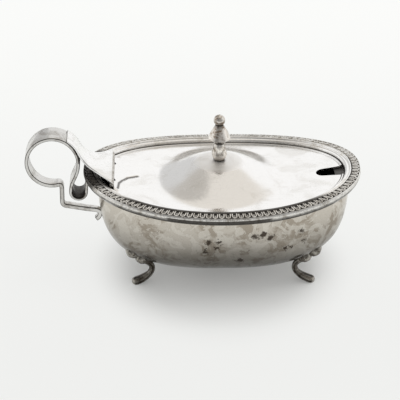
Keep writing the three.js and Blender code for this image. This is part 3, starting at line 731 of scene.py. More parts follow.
def border_tree():
    """Sets a unit on every point, joins the plain strip and makes it all real."""
    tree = bpy.data.node_groups.new("egg_and_dart", "GeometryNodeTree")
    face = tree.interface
    face.new_socket("Geometry", in_out="INPUT", socket_type="NodeSocketGeometry")
    face.new_socket("Unit", in_out="INPUT", socket_type="NodeSocketObject")
    face.new_socket("Strip", in_out="INPUT", socket_type="NodeSocketObject")
    face.new_socket("Finish", in_out="INPUT", socket_type="NodeSocketMaterial")
    face.new_socket("Wear", in_out="INPUT", socket_type="NodeSocketFloat")
    face.new_socket("Geometry", in_out="OUTPUT", socket_type="NodeSocketGeometry")
    given = add(tree, "NodeGroupInput").outputs
    outward = add(tree, "GeometryNodeInputNamedAttribute", {"Name": "outward"}, data_type="FLOAT_VECTOR")
    upward = add(tree, "GeometryNodeInputNamedAttribute", {"Name": "upward"}, data_type="FLOAT_VECTOR")
    facing = add(tree, "FunctionNodeAxesToRotation", {
        "Primary Axis": upward.outputs["Attribute"], "Secondary Axis": outward.outputs["Attribute"],
    }, primary_axis="Z", secondary_axis="Y")
    least = add(tree, "ShaderNodeMath", {0: 1.0, 1: given["Wear"]}, operation="SUBTRACT").outputs[0]
    height = add(tree, "FunctionNodeRandomValue", {"Min": least, "Max": 1.0, "Seed": 7}, data_type="FLOAT")
    size = add(tree, "ShaderNodeCombineXYZ", {"X": 1.0, "Y": 1.0, "Z": height.outputs["Value"]})
    unit = add(tree, "GeometryNodeObjectInfo", {"Object": given["Unit"]}).outputs["Geometry"]
    strip = add(tree, "GeometryNodeObjectInfo", {"Object": given["Strip"]}).outputs["Geometry"]
    placed = add(tree, "GeometryNodeInstanceOnPoints", {
        "Points": given["Geometry"], "Instance": unit,
        "Rotation": facing.outputs["Rotation"], "Scale": size.outputs[0],
    })
    joined = add(tree, "GeometryNodeJoinGeometry")
    tree.links.new(placed.outputs["Instances"], joined.inputs["Geometry"])
    tree.links.new(strip, joined.inputs["Geometry"])
    real = add(tree, "GeometryNodeRealizeInstances", {"Geometry": joined.outputs["Geometry"]})
    painted = add(tree, "GeometryNodeSetMaterial", {
        "Geometry": real.outputs["Geometry"], "Material": given["Finish"],
    })
    add(tree, "NodeGroupOutput", {"Geometry": painted.outputs["Geometry"]})
    return tree


def make_border():
    tree = border_tree()
    modifier = border_points.modifiers.new("egg_and_dart", "NODES")
    modifier.node_group = tree
    wanted = {"Unit": border_unit, "Strip": border_strip, "Finish": border_finish, "Wear": UNIT_WEAR}
    for item in tree.interface.items_tree:
        if item.name in wanted:
            modifier[item.identifier] = wanted[item.name]
    bpy.context.view_layer.update()
    border = evaluated(border_points, "egg_and_dart_border")
    paint_shade(border, 0.0, 0.5)
    for helper in (border_unit, border_strip):
        bpy.data.objects.remove(helper)
    tidy(border.data)
    return border


border = make_border()
hand_over(border, "base", border_finish, "cast_silver", "rim_border")

# %% [markdown]
# ## Lid
# The lid is a thin plate that follows the rim's sheer, spun up into a soft cone under the finial.
# A fine line is chased just inside its edge. It is cut straight at the hinge, where it turns up
# to meet the barrel, and a notch at the other end lets the spoon's handle out. A dent has left a
# bent crease beside the hinge.

# %% Lid
LID_EDGE_GAP = 0.35
LID_EDGE_INSET = SEAT_WALL_INSET + LID_EDGE_GAP
DOME_X = -1.5
DOME_SIZE = (35.5, 39.5)
DOME_RISE = 11.1
DOME_CAP_RADIUS = 7.0
DOME_STRAIGHTNESS = 0.25      # how much of a straight cone there is in the dome near its top
DOME_RINGS = 24
PLATE_RINGS = 22
STUD_HOLE_RADIUS = 1.7
LID_CHORD_X = -57.5
TURN_UP = 1.2
NOTCH_START_X = 50.3
NOTCH_WIDTH = 8.2
NOTCH_FLARE = 0.135
BEAD_RADIUS = 0.55
EDGE_BAND = 1.9
CUTTER_HEIGHTS = (20, 90)     # the cutters reach well below and above the lid


def dome_height(share):
    """A soft cone that flares at its foot, as spun metal does."""
    soft = (math.cos(math.pi * share) + 1) / 2
    return DOME_RISE * lerp(soft, 1 - share, DOME_STRAIGHTNESS * (1 - share))


def hinge_lift(x, y):
    """The lid turns up towards the barrel."""
    return TURN_UP * fade(x, -53, -57) * fade(abs(y), 22, 17)


def lid_surface(height, turns, edge):
    """Rings of one face of the lid, from the stud's hole to the edge's (inset, rise) points."""
    shapes = [(STUD_HOLE_RADIUS, STUD_HOLE_RADIUS, DOME_X, DOME_RISE)]
    for i in range(DOME_RINGS + 1):
        share = i / DOME_RINGS
        sizes = [lerp(DOME_CAP_RADIUS, size, share) for size in DOME_SIZE]
        shapes.append((*sizes, DOME_X, dome_height(share)))
    for i in range(1, PLATE_RINGS + 1):
        share = i / PLATE_RINGS
        half_length = lerp(DOME_SIZE[0], RIM_A - LID_EDGE_INSET - EDGE_BAND, share)
        half_width = lerp(DOME_SIZE[1], RIM_B - LID_EDGE_INSET - EDGE_BAND, share)
        shapes.append((half_length, half_width, DOME_X * (1 - share), 0.0))
    for inset, rise in edge:
        shapes.append((RIM_A - LID_EDGE_INSET - inset, RIM_B - LID_EDGE_INSET - inset, 0.0, rise))
    rings = []
    for half_length, half_width, centre_x, rise in shapes:
        ring = []
        for turn in turns:
            x, y = oval(half_length, half_width, turn, centre_x)
            ring.append((x, y, RIM_Z + height + rise + sheer(x) + hinge_lift(x, y)))
        rings.append(ring)
    return rings


def make_cutter(name, outline):
    """A prism over an outline in plan, used to cut the lid and then thrown away."""
    skin = Skin()
    skin.loft([[(x, y, z) for x, y in outline] for z in CUTTER_HEIGHTS])
    return skin.build(name)


def make_lid():
    turns = even_turns(COLUMNS)
    line = [(1.5, 0.0), (1.42, -0.2), (1.25, -0.2)]
    bead = arc((BEAD_RADIUS, 0.0), BEAD_RADIUS, 0, 200, 10)
    upper = lid_surface(LID_TOP, turns, line + bead)
    lower = lid_surface(LID_TOP - LID_THICKNESS, turns, [(0.3, 0.0), (0.0, 0.25)])
    recesses = [0.0] * (len(upper) + len(lower))
    for i in (1, 2):
        recesses[len(upper) - len(bead) - i] = 1.0
    skin = Skin()
    skin.loft(upper + lower[::-1], recesses, wrap=True)
    lid = skin.build("lid_plate")
    half = NOTCH_WIDTH / 2
    length = RIM_A - NOTCH_START_X
    mouth = half + NOTCH_FLARE * (length - half)
    notch = [(NOTCH_START_X + length, -mouth), (NOTCH_START_X + length, mouth)]
    notch += [(NOTCH_START_X + x, y) for x, y in arc((half, 0), half, 90, 270, 16)]
    ends = [(-RIM_A, -RIM_B), (LID_CHORD_X, -RIM_B), (LID_CHORD_X, RIM_B), (-RIM_A, RIM_B)]
    cutters = [make_cutter("notch_cutter", notch), make_cutter("hinge_end_cutter", ends)]
    for cutter in cutters:
        modifier = lid.modifiers.new(cutter.name, "BOOLEAN")
        modifier.operation = "DIFFERENCE"
        modifier.solver = "EXACT"
        modifier.object = cutter
    bpy.context.view_layer.update()
    plain = evaluated(lid, "lid_plate")
    for cutter in cutters:
        bpy.data.objects.remove(cutter)
    tidy(plain.data)
    return plain


lid = make_lid()
CREASE = ((-55.4, -17.8), (-54.9, -11.9), (-53.2, -7.4), (-50.6, -4.0), (-45.4, -1.2))
lid_finish = silver_plate(
    "lid_plate_finish", clean=(0.95, 0.94, 0.925), tarnished=(0.88, 0.865, 0.84), clouds=0.35, cloud_size=16,
    patchy=0.15, rough=0.12, grain=0.006, scratches=0.012, dirt_and_shade_darkness=0.85, speckle=0.05,
    crease=[place((x, y, RIM_Z + LID_TOP + sheer(x) + hinge_lift(x, y))) for x, y in CREASE],
    haze=(place((DOME_X, 0, RIM_Z + LID_TOP + DOME_RISE)), 15))
hand_over(lid, "lid", lid_finish, "bright_silver", "lid")

# %% [markdown]
# ## Finial
# The finial is a cast baluster: a small ball, a bell-shaped bulb cut in triangular facets with a
# sharp lower edge, a waist and a second faceted bulb. Its screw stud goes through the lid, and a
# nut holds it from below.

# %% Finial and nut
STUD_RADIUS = 1.4
STUD_LENGTH = 4.2
BALL_RADIUS = 3.08
BALL_HEIGHT = 22.8
FINIAL_BASE = RIM_Z + LID_TOP + DOME_RISE + GAP / 3
FACETS = 8
ROUND_COLUMNS = 48


def circle(centre_x, radius, height, turns):
    """A level ring of points round a centre in the dish's middle plane."""
    return [(centre_x + radius * math.cos(t), radius * math.sin(t), height) for t in turns]


def turned(skin, profile, centre_x, base, recess_at=None):
    """A round body from (radius, height) points; the profile starts and ends near the axis."""
    turns = even_turns(ROUND_COLUMNS)
    rings = [circle(centre_x, max(radius, 0.02), base + height, turns) for radius, height in profile]
    recesses = [recess_at(height) for _, height in profile] if recess_at else None
    skin.loft(rings, recesses)


def faceted(skin, levels, centre_x, base, dirt_and_shade):
    """A bulb of flat triangles: neighbouring rings are turned by half a facet."""
    starts = []
    for k, (radius, height) in enumerate(levels):
        turns = [t + math.pi / FACETS * (k % 2) for t in even_turns(FACETS)]
        starts.append(skin.add_points(circle(centre_x, radius, base + height, turns), dirt_and_shade[k]))
    for k in range(len(levels) - 1):
        low, high = starts[k], starts[k + 1]
        for j in range(FACETS):
            after = (j + 1) % FACETS
            if k % 2 == 0:
                skin.faces.append((low + j, low + after, high + j))
                skin.faces.append((low + after, high + after, high + j))
            else:
                skin.faces.append((low + j, high + after, high + j))
                skin.faces.append((low + j, low + after, high + after))
    skin.faces.append(tuple(starts[0] + j for j in range(FACETS)))
    skin.faces.append(tuple(starts[-1] + j for j in range(FACETS)))


def make_finial():
    skin = Skin()
    stud = [(0, -STUD_LENGTH), (STUD_RADIUS, -STUD_LENGTH), (STUD_RADIUS, 0)]
    body = [(2.6, 0), (2.6, 0.3), (2.3, 1.0), (2.4, 9.2), (2.6, 9.5), (2.6, 9.9), (2.4, 10.3), (2.0, 19.7),
            (1.95, 20.3)]

    # Darker at the narrow necks, with dirt, and at the foot, with dirt and painted shade where the finial
    # meets the dome
    def neck_dirt_and_foot_shade(height):
        return 0.9 if height < 1 or 9 < height < 10.5 or 19.4 < height < 21 else 0.5

    ball = arc((0, BALL_HEIGHT), BALL_RADIUS, -50, 90, 14)
    turned(skin, stud + body + ball, DOME_X, FINIAL_BASE, neck_dirt_and_foot_shade)
    # The lower bulb is darkened at its foot: dirt in the crevice and painted shade where it meets the dome
    faceted(skin, [(3.1, 0.1), (4.3, 3.7), (2.5, 9.6)], DOME_X, FINIAL_BASE, [0.95, 0.0, 0.6])
    bell = [(2.6, 9.9), (6.3, 12.6), (4.5, 16.4), (2.2, 20.2)]
    faceted(skin, bell, DOME_X, FINIAL_BASE, [1.0, 0.1, 0.0, 0.8])
    return skin.build("finial_baluster")


def make_nut():
    top = RIM_Z + LID_TOP - LID_THICKNESS + DOME_RISE - GAP
    profile = [(1.5, -2.2), (3.0, -2.2), (3.4, -2.0), (3.4, -0.2), (3.0, 0.0), (1.5, 0.0)]
    skin = Skin()
    skin.loft([circle(DOME_X, radius, top + height, even_turns(6)) for radius, height in profile], wrap=True)
    return skin.build("finial_hex_nut")


finial = make_finial()
nut = make_nut()
hand_over(finial, "lid", finial_finish, "turned_silver", "finial")
hand_over(nut, "lid", hinge_finish, "hinge_metal", "finial_nut")

# %% [markdown]
# ## Hinge
# Three lengths of plated tube share one pin. The middle one turns with the lid, and a leaf below
# the lid's edge carries it. The two outer ones are soldered under the fan-shaped bridge.

# %% Hinge
BARREL_RADIUS = 1.15
BARREL_HALF_LENGTH = 19.2
LID_KNUCKLE_HALF_LENGTH = 9.9
PIN_RADIUS = 0.6
BORE_RADIUS = 0.65
LEAF_THICKNESS = 0.8
LEAF_LENGTH = 9.0
BARREL_COLUMNS = 32
TUBE_EDGE = 0.12
PIN_END = 0.4                 # past each end of the barrel


def along_hinge(profile, wrap):
    """A round body along the hinge line from (radius, y) points."""
    skin = Skin()
    rings = []
    for radius, y in profile:
        rings.append([(HINGE_X + radius * math.cos(t), y, HINGE_Z + radius * math.sin(t))
                      for t in even_turns(BARREL_COLUMNS)])
    skin.loft(rings, wrap=wrap)
    return skin


def tube_profile(start, end):
    return [(BORE_RADIUS, start), (BARREL_RADIUS - TUBE_EDGE, start), (BARREL_RADIUS, start + TUBE_EDGE),
            (BARREL_RADIUS, end - TUBE_EDGE), (BARREL_RADIUS - TUBE_EDGE, end), (BORE_RADIUS, end)]


def make_lid_knuckle():
    skin = along_hinge(tube_profile(-LID_KNUCKLE_HALF_LENGTH, LID_KNUCKLE_HALF_LENGTH), True)
    web_right = HINGE_X + BARREL_RADIUS
    web_left = web_right - LEAF_THICKNESS
    leaf_end = HINGE_X + LEAF_LENGTH

    def leaf_top(x):
        return RIM_Z + LID_TOP - LID_THICKNESS - GAP + sheer(x)

    outline = [(web_left, HINGE_Z - BARREL_RADIUS * 0.8), (web_left, leaf_top(web_left) - LEAF_THICKNESS),
               (leaf_end, leaf_top(leaf_end) - LEAF_THICKNESS), (leaf_end, leaf_top(leaf_end)),
               (web_right, leaf_top(web_right)), (web_right, HINGE_Z - BARREL_RADIUS * 0.4)]
    skin.loft([[(x, y, z) for x, z in outline] for y in (-LID_KNUCKLE_HALF_LENGTH, LID_KNUCKLE_HALF_LENGTH)])
    return skin.build("lid_hinge_knuckle")


knuckle_start = LID_KNUCKLE_HALF_LENGTH + GAP
front_tube = tube_profile(-BARREL_HALF_LENGTH, -knuckle_start)
back_tube = tube_profile(knuckle_start, BARREL_HALF_LENGTH)
front_knuckle = along_hinge(front_tube, True).build("front_hinge_knuckle")
back_knuckle = along_hinge(back_tube, True).build("back_hinge_knuckle")
pin_end = BARREL_HALF_LENGTH + PIN_END
pin_profile = [(0.3, -pin_end), (PIN_RADIUS, -pin_end + 0.3), (PIN_RADIUS, pin_end - 0.3), (0.3, pin_end)]
pin = along_hinge(pin_profile, False).build("steel_hinge_pin")
lid_knuckle = make_lid_knuckle()
hand_over(front_knuckle, "base", hinge_finish, "hinge_metal", "bridge_knuckle_front")
hand_over(back_knuckle, "base", hinge_finish, "hinge_metal", "bridge_knuckle_back")
hand_over(pin, "base", hinge_finish, "hinge_metal", "hinge_pin")
hand_over(lid_knuckle, "lid", hinge_finish, "hinge_metal", "lid_knuckle")

# %% [markdown]
# ## Strap handle and bridge
# One strip of plate makes the whole handle: from under the border it curls back on itself, rises
# into the finger ring, narrows as it comes round, drops as a post and runs in to the bowl's side.
# A second, fan-shaped strip bridges from the ring to the hinge. Both are drawn as an edge-rounded
# strip carried along a line in the dish's middle plane.

# %% Strip helpers
CLEAN_SIDE = 0.2              # recess value of a polished side


def bezier(*controls):
    """Point on a Bezier curve of any order, as a function of its share."""
    def at(t):
        points = [Vector(p) for p in controls]
        while len(points) > 1:
            points = [a.lerp(b, t) for a, b in zip(points, points[1:])]
        return points[0]
    return at


def ellipse(centre, radius_x, radius_z, start, end):
    def at(t):
        angle = math.radians(lerp(start, end, t))
        return Vector((centre[0] + radius_x * math.cos(angle), centre[1] + radius_z * math.sin(angle)))
    return at


def at_share(stops, share):
    """Value between (share, value) stops."""
    for (from_share, low), (to_share, high) in zip(stops, stops[1:]):
        if share <= to_share:
            return lerp(low, high, (share - from_share) / (to_share - from_share))
    return stops[-1][1]


def strip(name, points, widths, thicknesses, edge, edge_shade, inner_shade=None):
    """An edge-rounded strip along points in the middle plane, with its width and thickness at each.

    edge_shade is the painted shade along its edges, and inner_shade the painted shade of its inner
    side at each point. The outer side is kept nearly clean, and so is the inner one without
    inner_shade. The last end is dirty, where it is soldered or never polished.
    """
    rings = []
    dirt_and_shade_mask = []
    for i, point in enumerate(points):
        ahead = (points[min(i + 1, len(points) - 1)] - points[max(i - 1, 0)]).normalized()
        out = Vector((-ahead.y, ahead.x))
        half_width, half_thick = widths[i] / 2, thicknesses[i] / 2
        edge_here = min(edge, half_thick - 0.01)
        ring = []
        for side, lift, start in ((1, 1, 0), (-1, 1, 90), (-1, -1, 180), (1, -1, 270)):
            centre = (side * (half_width - edge_here), lift * (half_thick - edge_here))
            side_shade = inner_shade[i] if inner_shade and lift < 0 else CLEAN_SIDE
            corner = (side_shade, max(edge_shade, side_shade), max(edge_shade, side_shade), side_shade)
            dirt_and_shade_mask.extend([1.0] * 4 if i == len(points) - 1 else corner)
            for across, outwards in arc(centre, edge_here, start, start + 90, 3):
                ring.append((point.x + out.x * outwards, across, point.y + out.y * outwards))
        rings.append(ring)
    skin = Skin()
    skin.loft(rings)
    skin.dirt_and_shade[:len(dirt_and_shade_mask)] = dirt_and_shade_mask
    return skin.build(name)


print("strip helpers ready")

# %% Strap handle
STRAP_THICKNESS = 1.75
STRAP_WIDTH = 14.6
POST_THICKNESS = 2.35
POST_WIDTH = 4.4
RING_RADIUS_X = 13.72
RING_RADIUS_Z = 14.42
RING_CLEARANCE = 1.5          # from the border's end to the ring
RING_RISE = 9.5
RING = (-RIM_A - RING_CLEARANCE - STRAP_THICKNESS / 2 - RING_RADIUS_X, RIM_Z + RING_RISE)
RING_END = 281                # degrees round the ring, from the bowl's side over the top
CURL_RADIUS = 4.1
CURL_INSET = 1.45
CURL_DROP = 7.1
CURL = (CURL_INSET - RIM_A - CURL_RADIUS, RIM_Z - CURL_DROP)
POST_SHIFT = 4.4
POST_X = RING[0] + POST_SHIFT
SHELF_HIGH = RIM_Z - 18
SHELF_LOW = RIM_Z - 20
HOOK = (-65.6, RIM_Z - 22.6)
BEND = 2.8


def make_handle():
    left, right = CURL[0] - CURL_RADIUS, CURL[0] + CURL_RADIUS
    ring_right = RING[0] + RING_RADIUS_X
    ring_end = ellipse(RING, RING_RADIUS_X, RING_RADIUS_Z, 0, RING_END)(1)
    post_top = ring_end.y - BEND
    shelf_start, shelf_end = POST_X + BEND, HOOK[0] - 6.7
    hook_start = (HOOK[0] - 3.7, SHELF_LOW - 0.5)
    full, post = (STRAP_WIDTH, STRAP_WIDTH), (POST_WIDTH, POST_WIDTH)
    pieces = [  # line, steps, and width at its start and end
        (bezier((right + 0.5, RIM_Z + BOWL_TOP + sheer(right) - GAP / 2), (right, CURL[1])), 6, full),
        (ellipse(CURL, CURL_RADIUS, CURL_RADIUS, 0, -180), 28, full),
        (bezier((left, CURL[1]), (left, CURL[1] + 6.8), (ring_right, RING[1] - 7.8), (ring_right, RING[1])),
         24, full),
        (ellipse(RING, RING_RADIUS_X, RING_RADIUS_Z, 0, RING_END), 110, None),
        (bezier(ring_end, (POST_X - 0.1, ring_end.y + 0.3), (POST_X, post_top)), 12, (6.4, POST_WIDTH)),
        (bezier((POST_X, post_top), (POST_X, SHELF_HIGH + BEND)), 6, post),
        (bezier((POST_X, SHELF_HIGH + BEND), (POST_X, SHELF_HIGH + 0.2), (shelf_start, SHELF_HIGH)), 12,
         (POST_WIDTH, 4.2)),
        (bezier((shelf_start, SHELF_HIGH), (shelf_end, SHELF_LOW)), 8, (4.2, 4)),
        (bezier((shelf_end, SHELF_LOW), hook_start, (HOOK[0] + 0.2, HOOK[1] + 2.3), HOOK), 16, (4, 3.8)),
        (bezier(HOOK, (HOOK[0] - 0.1, HOOK[1] - 2.3), (HOOK[0] - 2.1, HOOK[1] - 3.5)), 10, (3.8, 3.4)),
    ]
    ring_widths = [(0, STRAP_WIDTH), (0.4, 14.4), (0.64, 12), (0.8, 9), (0.96, 7), (1, 6.4)]
    side_shade = {  # painted shade on the inner side, by piece: in the curl, and where the ring meets the bridge
        1: [(0, 0.6), (0.3, 1.0), (0.7, 1.0), (1, 0.6)],
        3: [(0, 0.9), (0.1, 0.9), (0.25, CLEAN_SIDE), (1, CLEAN_SIDE)],
    }
    points, widths, inner_shade = [], [], []
    for k, (line, steps, ends) in enumerate(pieces):
        stops = [(0, ends[0]), (1, ends[1])] if ends else ring_widths
        for i in range(0 if k == 0 else 1, steps + 1):
            points.append(line(i / steps))
            widths.append(at_share(stops, i / steps))
            inner_shade.append(at_share(side_shade[k], i / steps) if k in side_shade else CLEAN_SIDE)
    narrowing = (POST_THICKNESS - STRAP_THICKNESS) / (STRAP_WIDTH - POST_WIDTH)
    thicknesses = [STRAP_THICKNESS + narrowing * (STRAP_WIDTH - width) for width in widths]
    return strip("strap_handle", points, widths, thicknesses, 0.5, 0.95, inner_shade)


handle = make_handle()
hand_over(handle, "base", strap_finish, "rolled_silver", "handle_strap")

# %% Bridge
BRIDGE_THICKNESS = 1.2
TAIL_THICKNESS = 0.7
FAN_OVERHANG = 1.6            # past each end of the barrel
FAN_WIDTH = 2 * (BARREL_HALF_LENGTH + FAN_OVERHANG)
FAN_STEPS = 48
TAIL_STEPS = 30


def make_bridge():
    tail_from, tail_to = 24, 58    # degrees round the ring that the tail lies on

    def tail_point(share):
        thickness = lerp(BRIDGE_THICKNESS, TAIL_THICKNESS, share)
        lift = (STRAP_THICKNESS + thickness) / 2 - 0.02
        angle = lerp(tail_from, tail_to, share)
        return ellipse(RING, RING_RADIUS_X + lift, RING_RADIUS_Z + lift, angle, angle)(0)

    start = Vector((HINGE_X, HINGE_Z + BARREL_RADIUS + GAP + BRIDGE_THICKNESS / 2))
    end = tail_point(0)
    heading = (tail_point(0.02) - end).normalized()
    fan = bezier(start, start + Vector((-7.9, 1.3)), end - 8.5 * heading, end)
    shape = through([(0, 1), (0.1, 0.79), (0.23, 0.555), (0.41, 0.31), (0.62, 0.16), (0.81, 0.05), (1, 0)], 8)
    points, widths, thicknesses = [], [], []
    for i in range(FAN_STEPS + 1):
        points.append(fan(i / FAN_STEPS))
        widths.append(lerp(STRAP_WIDTH, FAN_WIDTH, at_share(shape, i / FAN_STEPS)))
        thicknesses.append(BRIDGE_THICKNESS)
    for i in range(1, TAIL_STEPS + 1):
        points.append(tail_point(i / TAIL_STEPS))
        widths.append(STRAP_WIDTH)
        thicknesses.append(lerp(BRIDGE_THICKNESS, TAIL_THICKNESS, i / TAIL_STEPS))
    return strip("hinge_bridge", points, widths, thicknesses, 0.35, 0.35)


bridge = make_bridge()
hand_over(bridge, "base", fan_finish, "rolled_silver", "bridge_plate")

# %% [markdown]
# ## Feet
# Each foot is one casting, bent like a dancer's leg: a pad of two beads soldered under the bowl, a
# slim grooved leg with its knee turned in, and a spoon-shaped toe. The stations below give the
# leg's line and size, and grooves are pressed in along it.

# %% Feet
FEET_CENTRE_X = 0.3
FOOT_ALONG = 0.634            # share of the bowl's half length
FOOT_ACROSS = 0.499           # and of its half width
FOOT_X = FOOT_ALONG * BOWL_HALF_LENGTH
FOOT_Y = FOOT_ACROSS * BOWL_HALF_WIDTH
FOOT_TURN = math.radians(12)
FOOT_SIDES = 28
FOOT_STATIONS = [  # distance outwards, height, half width, half thickness
    (8.3, 22.9, 1.0, 0.8), (7.8, 21.5, 2.9, 2.4), (6.4, 19.8, 4.0, 3.4), (4.8, 18.2, 3.4, 2.9),
    (3.6, 17.1, 2.3, 1.9), (2.4, 15.9, 3.2, 2.8), (0.8, 14.7, 3.5, 3.0), (-0.9, 13.5, 2.6, 2.1),
    (-2.2, 12.4, 1.9, 1.7), (-3.5, 11.1, 1.7, 1.6), (-4.3, 9.6, 1.7, 1.6), (-4.4, 7.9, 1.7, 1.6),
    (-3.8, 6.3, 1.9, 1.6), (-2.6, 4.9, 2.3, 1.65), (-1.0, 3.8, 2.8, 1.75), (0.8, 2.8, 3.1, 1.85),
    (2.6, 2.1, 3.3, 1.9), (4.2, 1.6, 3.3, 1.9), (5.6, 1.4, 2.7, 1.65), (6.5, 1.3, 1.2, 0.9),
]
LEG_STARTS_AT = 7             # station
LEG_FADE = 1.5                # stations over which the grooves begin and end
GROOVE_COUNT = 4
GROOVE_DEPTH = 0.16           # share of the leg's half thickness
FOOT_STEPS = 6


def foot_skin():
    line = through(FOOT_STATIONS, FOOT_STEPS)
    rings, groove_rings = [], []
    for i, (u, z, half_width, half_thick) in enumerate(line):
        before, after = line[max(i - 1, 0)], line[min(i + 1, len(line) - 1)]
        ahead = Vector((after[0] - before[0], after[1] - before[1])).normalized()
        out = Vector((-ahead.y, ahead.x))
        from_end = (len(line) - 1 - i) / FOOT_STEPS
        leg = smooth_step((i / FOOT_STEPS - LEG_STARTS_AT) / LEG_FADE) * smooth_step(from_end / LEG_FADE)
        ring, grooves = [], []
        for turn in even_turns(FOOT_SIDES):
            groove = leg * max(0.0, math.cos(GROOVE_COUNT * turn)) ** 2
            size = 1 - GROOVE_DEPTH * groove
            across = half_width * math.cos(turn) * size
            lift = half_thick * math.sin(turn) * size
            ring.append((u + out.x * lift, across, max(z + out.y * lift, 0.0)))
            grooves.append(lerp(0.1, 0.58, leg) + 0.42 * groove)
        rings.append(ring)
        groove_rings.append(grooves)
    skin = Skin()
    skin.loft(rings)
    flat = [value for grooves in groove_rings for value in grooves]
    skin.dirt_and_shade[:len(flat)] = flat
    return skin


def foot_in_place(side_x, side_y):
    cos_turn, sin_turn = math.cos(FOOT_TURN), math.sin(FOOT_TURN)

    def change(point):
        x, y, z = point
        turned_x = FOOT_X + x * cos_turn - y * sin_turn
        turned_y = FOOT_Y + x * sin_turn + y * cos_turn
        return (FEET_CENTRE_X + side_x * turned_x, side_y * turned_y, z)
    return change


foot = foot_skin()
for end, side_x in (("left", -1), ("right", 1)):
    for side, side_y in (("front", -1), ("back", 1)):
        piece = foot.moved(foot_in_place(side_x, side_y)).build(f"scroll_foot_{side}_{end}")
        hand_over(piece, "base", foot_finish, "dark_cast_silver", f"foot_{side}_{end}")

# %% [markdown]
# ## Studio
# The photograph shows the dish on a pale table before a pale wall, in wide, soft light. Here a large
# lamp stands above the dish and a little to the right, and the world lights it from all round, most
# from low down. The floor is matt paper below the dish, where the shadow falls, and shines evenly
# white farther off. What the metal mirrors is set apart from what lights it: the mirrored world is
# dimmer and warmer overhead, dimmer on the camera's side, and has a grey panel on the left, which
# gives the dome its grey side. A Light Path node tells these rays apart, on the stage only. The
# finishes of the dish itself don't use one.

# %% Floor, lamps and camera
PAPER = (0.865, 0.87, 0.855, 1.0)
WHITE = (1.0, 1.0, 1.0, 1.0)
WARM_WHITE = (1.0, 0.955, 0.89, 1.0)
FLOOR_HALF_SIZE = 3.0
SHINE_NEAR = 1.0              # strength of the floor's own light in front of the dish
SHINE_FAR = 1.13              # and well behind it
SHADOW_INNER = 42             # the floor is paper this far from below the rim's middle, mm
SHADOW_OUTER = 74             # and shines from here on
SHADOW_DEPTH = 0.75           # the paper reaches 1 / 0.75 as far to the front and back
PAPER_SHINE = 0.1             # share of its own light in the paper
FAR_SHINE = 0.88              # and in the floor farther off
OVERHEAD_FROM = 0.58          # Z of the directions where overhead begins
OVERHEAD_TO = 0.72
OVERHEAD_LIGHT = 0.79
FRONT_LIGHT = 0.42            # mirrored light on the camera's side
PANEL_GREY = 0.34
LOW_LIGHT = 2.4               # light that falls on the dish from the horizon
TOP_LIGHT = 0.4               # and from above


def make_floor():
    size = FLOOR_HALF_SIZE
    mesh = bpy.data.meshes.new("floor")
    corners = [(-size, -size, 0), (size, -size, 0), (size, size, 0), (-size, size, 0)]
    mesh.from_pydata(corners, [], [(0, 1, 2, 3)])
    material = bpy.data.materials.new("floor_paper")
    tree = empty_tree(material)
    paper = add(tree, "ShaderNodeBsdfPrincipled", {"Base Color": PAPER, "Roughness": 0.8})
    place_on_floor = add(tree, "ShaderNodeTexCoord").outputs["Object"]
    depth = add(tree, "ShaderNodeSeparateXYZ", {"Vector": place_on_floor}).outputs["Y"]
    strength = between(tree, depth, -0.15, 0.45, SHINE_NEAR, SHINE_FAR)
    shine = add(tree, "ShaderNodeEmission", {"Color": PAPER, "Strength": strength})
    path = add(tree, "ShaderNodeLightPath").outputs
    seen = maths(tree, "ADD", path["Is Camera Ray"], path["Is Glossy Ray"])
    seen = maths(tree, "ADD", seen, path["Is Transmission Ray"], clamp=True)
    from_dish = vector_maths(tree, "SUBTRACT", "Vector", {0: place_on_floor, 1: place((0, 0, 0))})
    from_dish = vector_maths(tree, "MULTIPLY", "Vector", {0: from_dish, 1: (1.0, SHADOW_DEPTH, 0.0)})
    away = vector_maths(tree, "LENGTH", "Value", {0: from_dish})
    own_light = between(tree, away, SHADOW_INNER * MM, SHADOW_OUTER * MM, PAPER_SHINE, FAR_SHINE)
    share = maths(tree, "MULTIPLY", seen, own_light)
    blend = add(tree, "ShaderNodeMixShader", {0: share, 1: paper.outputs[0], 2: shine.outputs[0]})
    add(tree, "ShaderNodeOutputMaterial", {"Surface": blend.outputs[0]})
    mesh.materials.append(material)
    return into_scene("floor", mesh)


def make_lamp(name, location, target, size, power):
    data = bpy.data.lights.new(name, "AREA")
    data.shape = "SQUARE"
    data.size = size
    data.energy = power
    lamp = into_scene(name, data)
    lamp.visible_glossy = False
    lamp.location = location
    lamp.rotation_euler = (Vector(target) - Vector(location)).to_track_quat("-Z", "Y").to_euler()
    return lamp


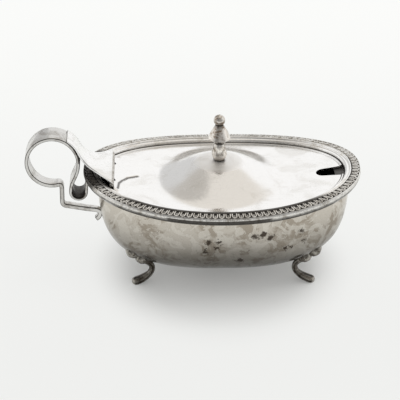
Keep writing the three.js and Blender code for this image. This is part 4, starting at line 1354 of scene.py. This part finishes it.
def make_world():
    world = bpy.data.worlds.new("studio_white")
    bpy.context.scene.world = world
    tree = empty_tree(world)
    path = add(tree, "ShaderNodeLightPath").outputs
    seen = maths(tree, "ADD", path["Is Camera Ray"], path["Is Transmission Ray"], clamp=True)
    direction = add(tree, "ShaderNodeTexCoord").outputs["Generated"]
    parts = add(tree, "ShaderNodeSeparateXYZ", {"Vector": direction}).outputs
    high = between(tree, parts["Z"], OVERHEAD_FROM, OVERHEAD_TO)
    overhead = between(tree, parts["Z"], OVERHEAD_FROM, OVERHEAD_TO, 1.0, OVERHEAD_LIGHT)
    facing = between(tree, parts["Y"], -0.75, 0.1, FRONT_LIGHT, 1.0)
    panel = maths(tree, "MULTIPLY", between(tree, parts["X"], -0.19, -0.11, PANEL_GREY, 0.0),
                  between(tree, parts["X"], -0.85, -0.5, 0.0, 1.0))
    left = maths(tree, "SUBTRACT", 1.0, panel)
    mirrored = maths(tree, "MULTIPLY", maths(tree, "MULTIPLY", overhead, facing), left)
    glossy = maths(tree, "MULTIPLY", path["Is Glossy Ray"], mirrored)
    falling = between(tree, parts["Z"], 0.0, 0.8, LOW_LIGHT, TOP_LIGHT)
    diffuse = maths(tree, "MULTIPLY", path["Is Diffuse Ray"], falling)
    strength = maths(tree, "ADD", seen, maths(tree, "ADD", glossy, diffuse))
    tint = mixed(tree, maths(tree, "MULTIPLY", high, path["Is Glossy Ray"]), WHITE, WARM_WHITE)
    background = add(tree, "ShaderNodeBackground", {"Color": tint, "Strength": strength})
    add(tree, "ShaderNodeOutputWorld", {"Surface": background.outputs["Background"]})


def make_camera():
    """Looks down at 27 degrees through a long lens, as fitted to the photograph."""
    data = bpy.data.cameras.new("photo_camera")
    data.sensor_width = 36.0
    data.lens = 185.1
    camera = into_scene("photo_camera", data)
    camera.location = (-0.0188, -0.9860, 0.5408)
    camera.rotation_euler = (math.radians(63), 0.0, math.radians(-1.3))
    bpy.context.scene.camera = camera
    return camera


floor = make_floor()
top_lamp = make_lamp("top_lamp", location=(0.27, 0.0, 1.1), target=(0, 0, 0.03), size=0.9, power=4.7)
make_world()
camera = make_camera()
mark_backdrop(floor, top_lamp, camera)
bpy.context.scene.view_settings.view_transform = "Standard"
print("studio ready")

# %% Finish
visual_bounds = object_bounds()


def plain(value):
    """Bounds as plain lists of numbers."""
    return [list(corner) for corner in value]


{"cad": plain(cad_bounds), "visual": plain(visual_bounds)}
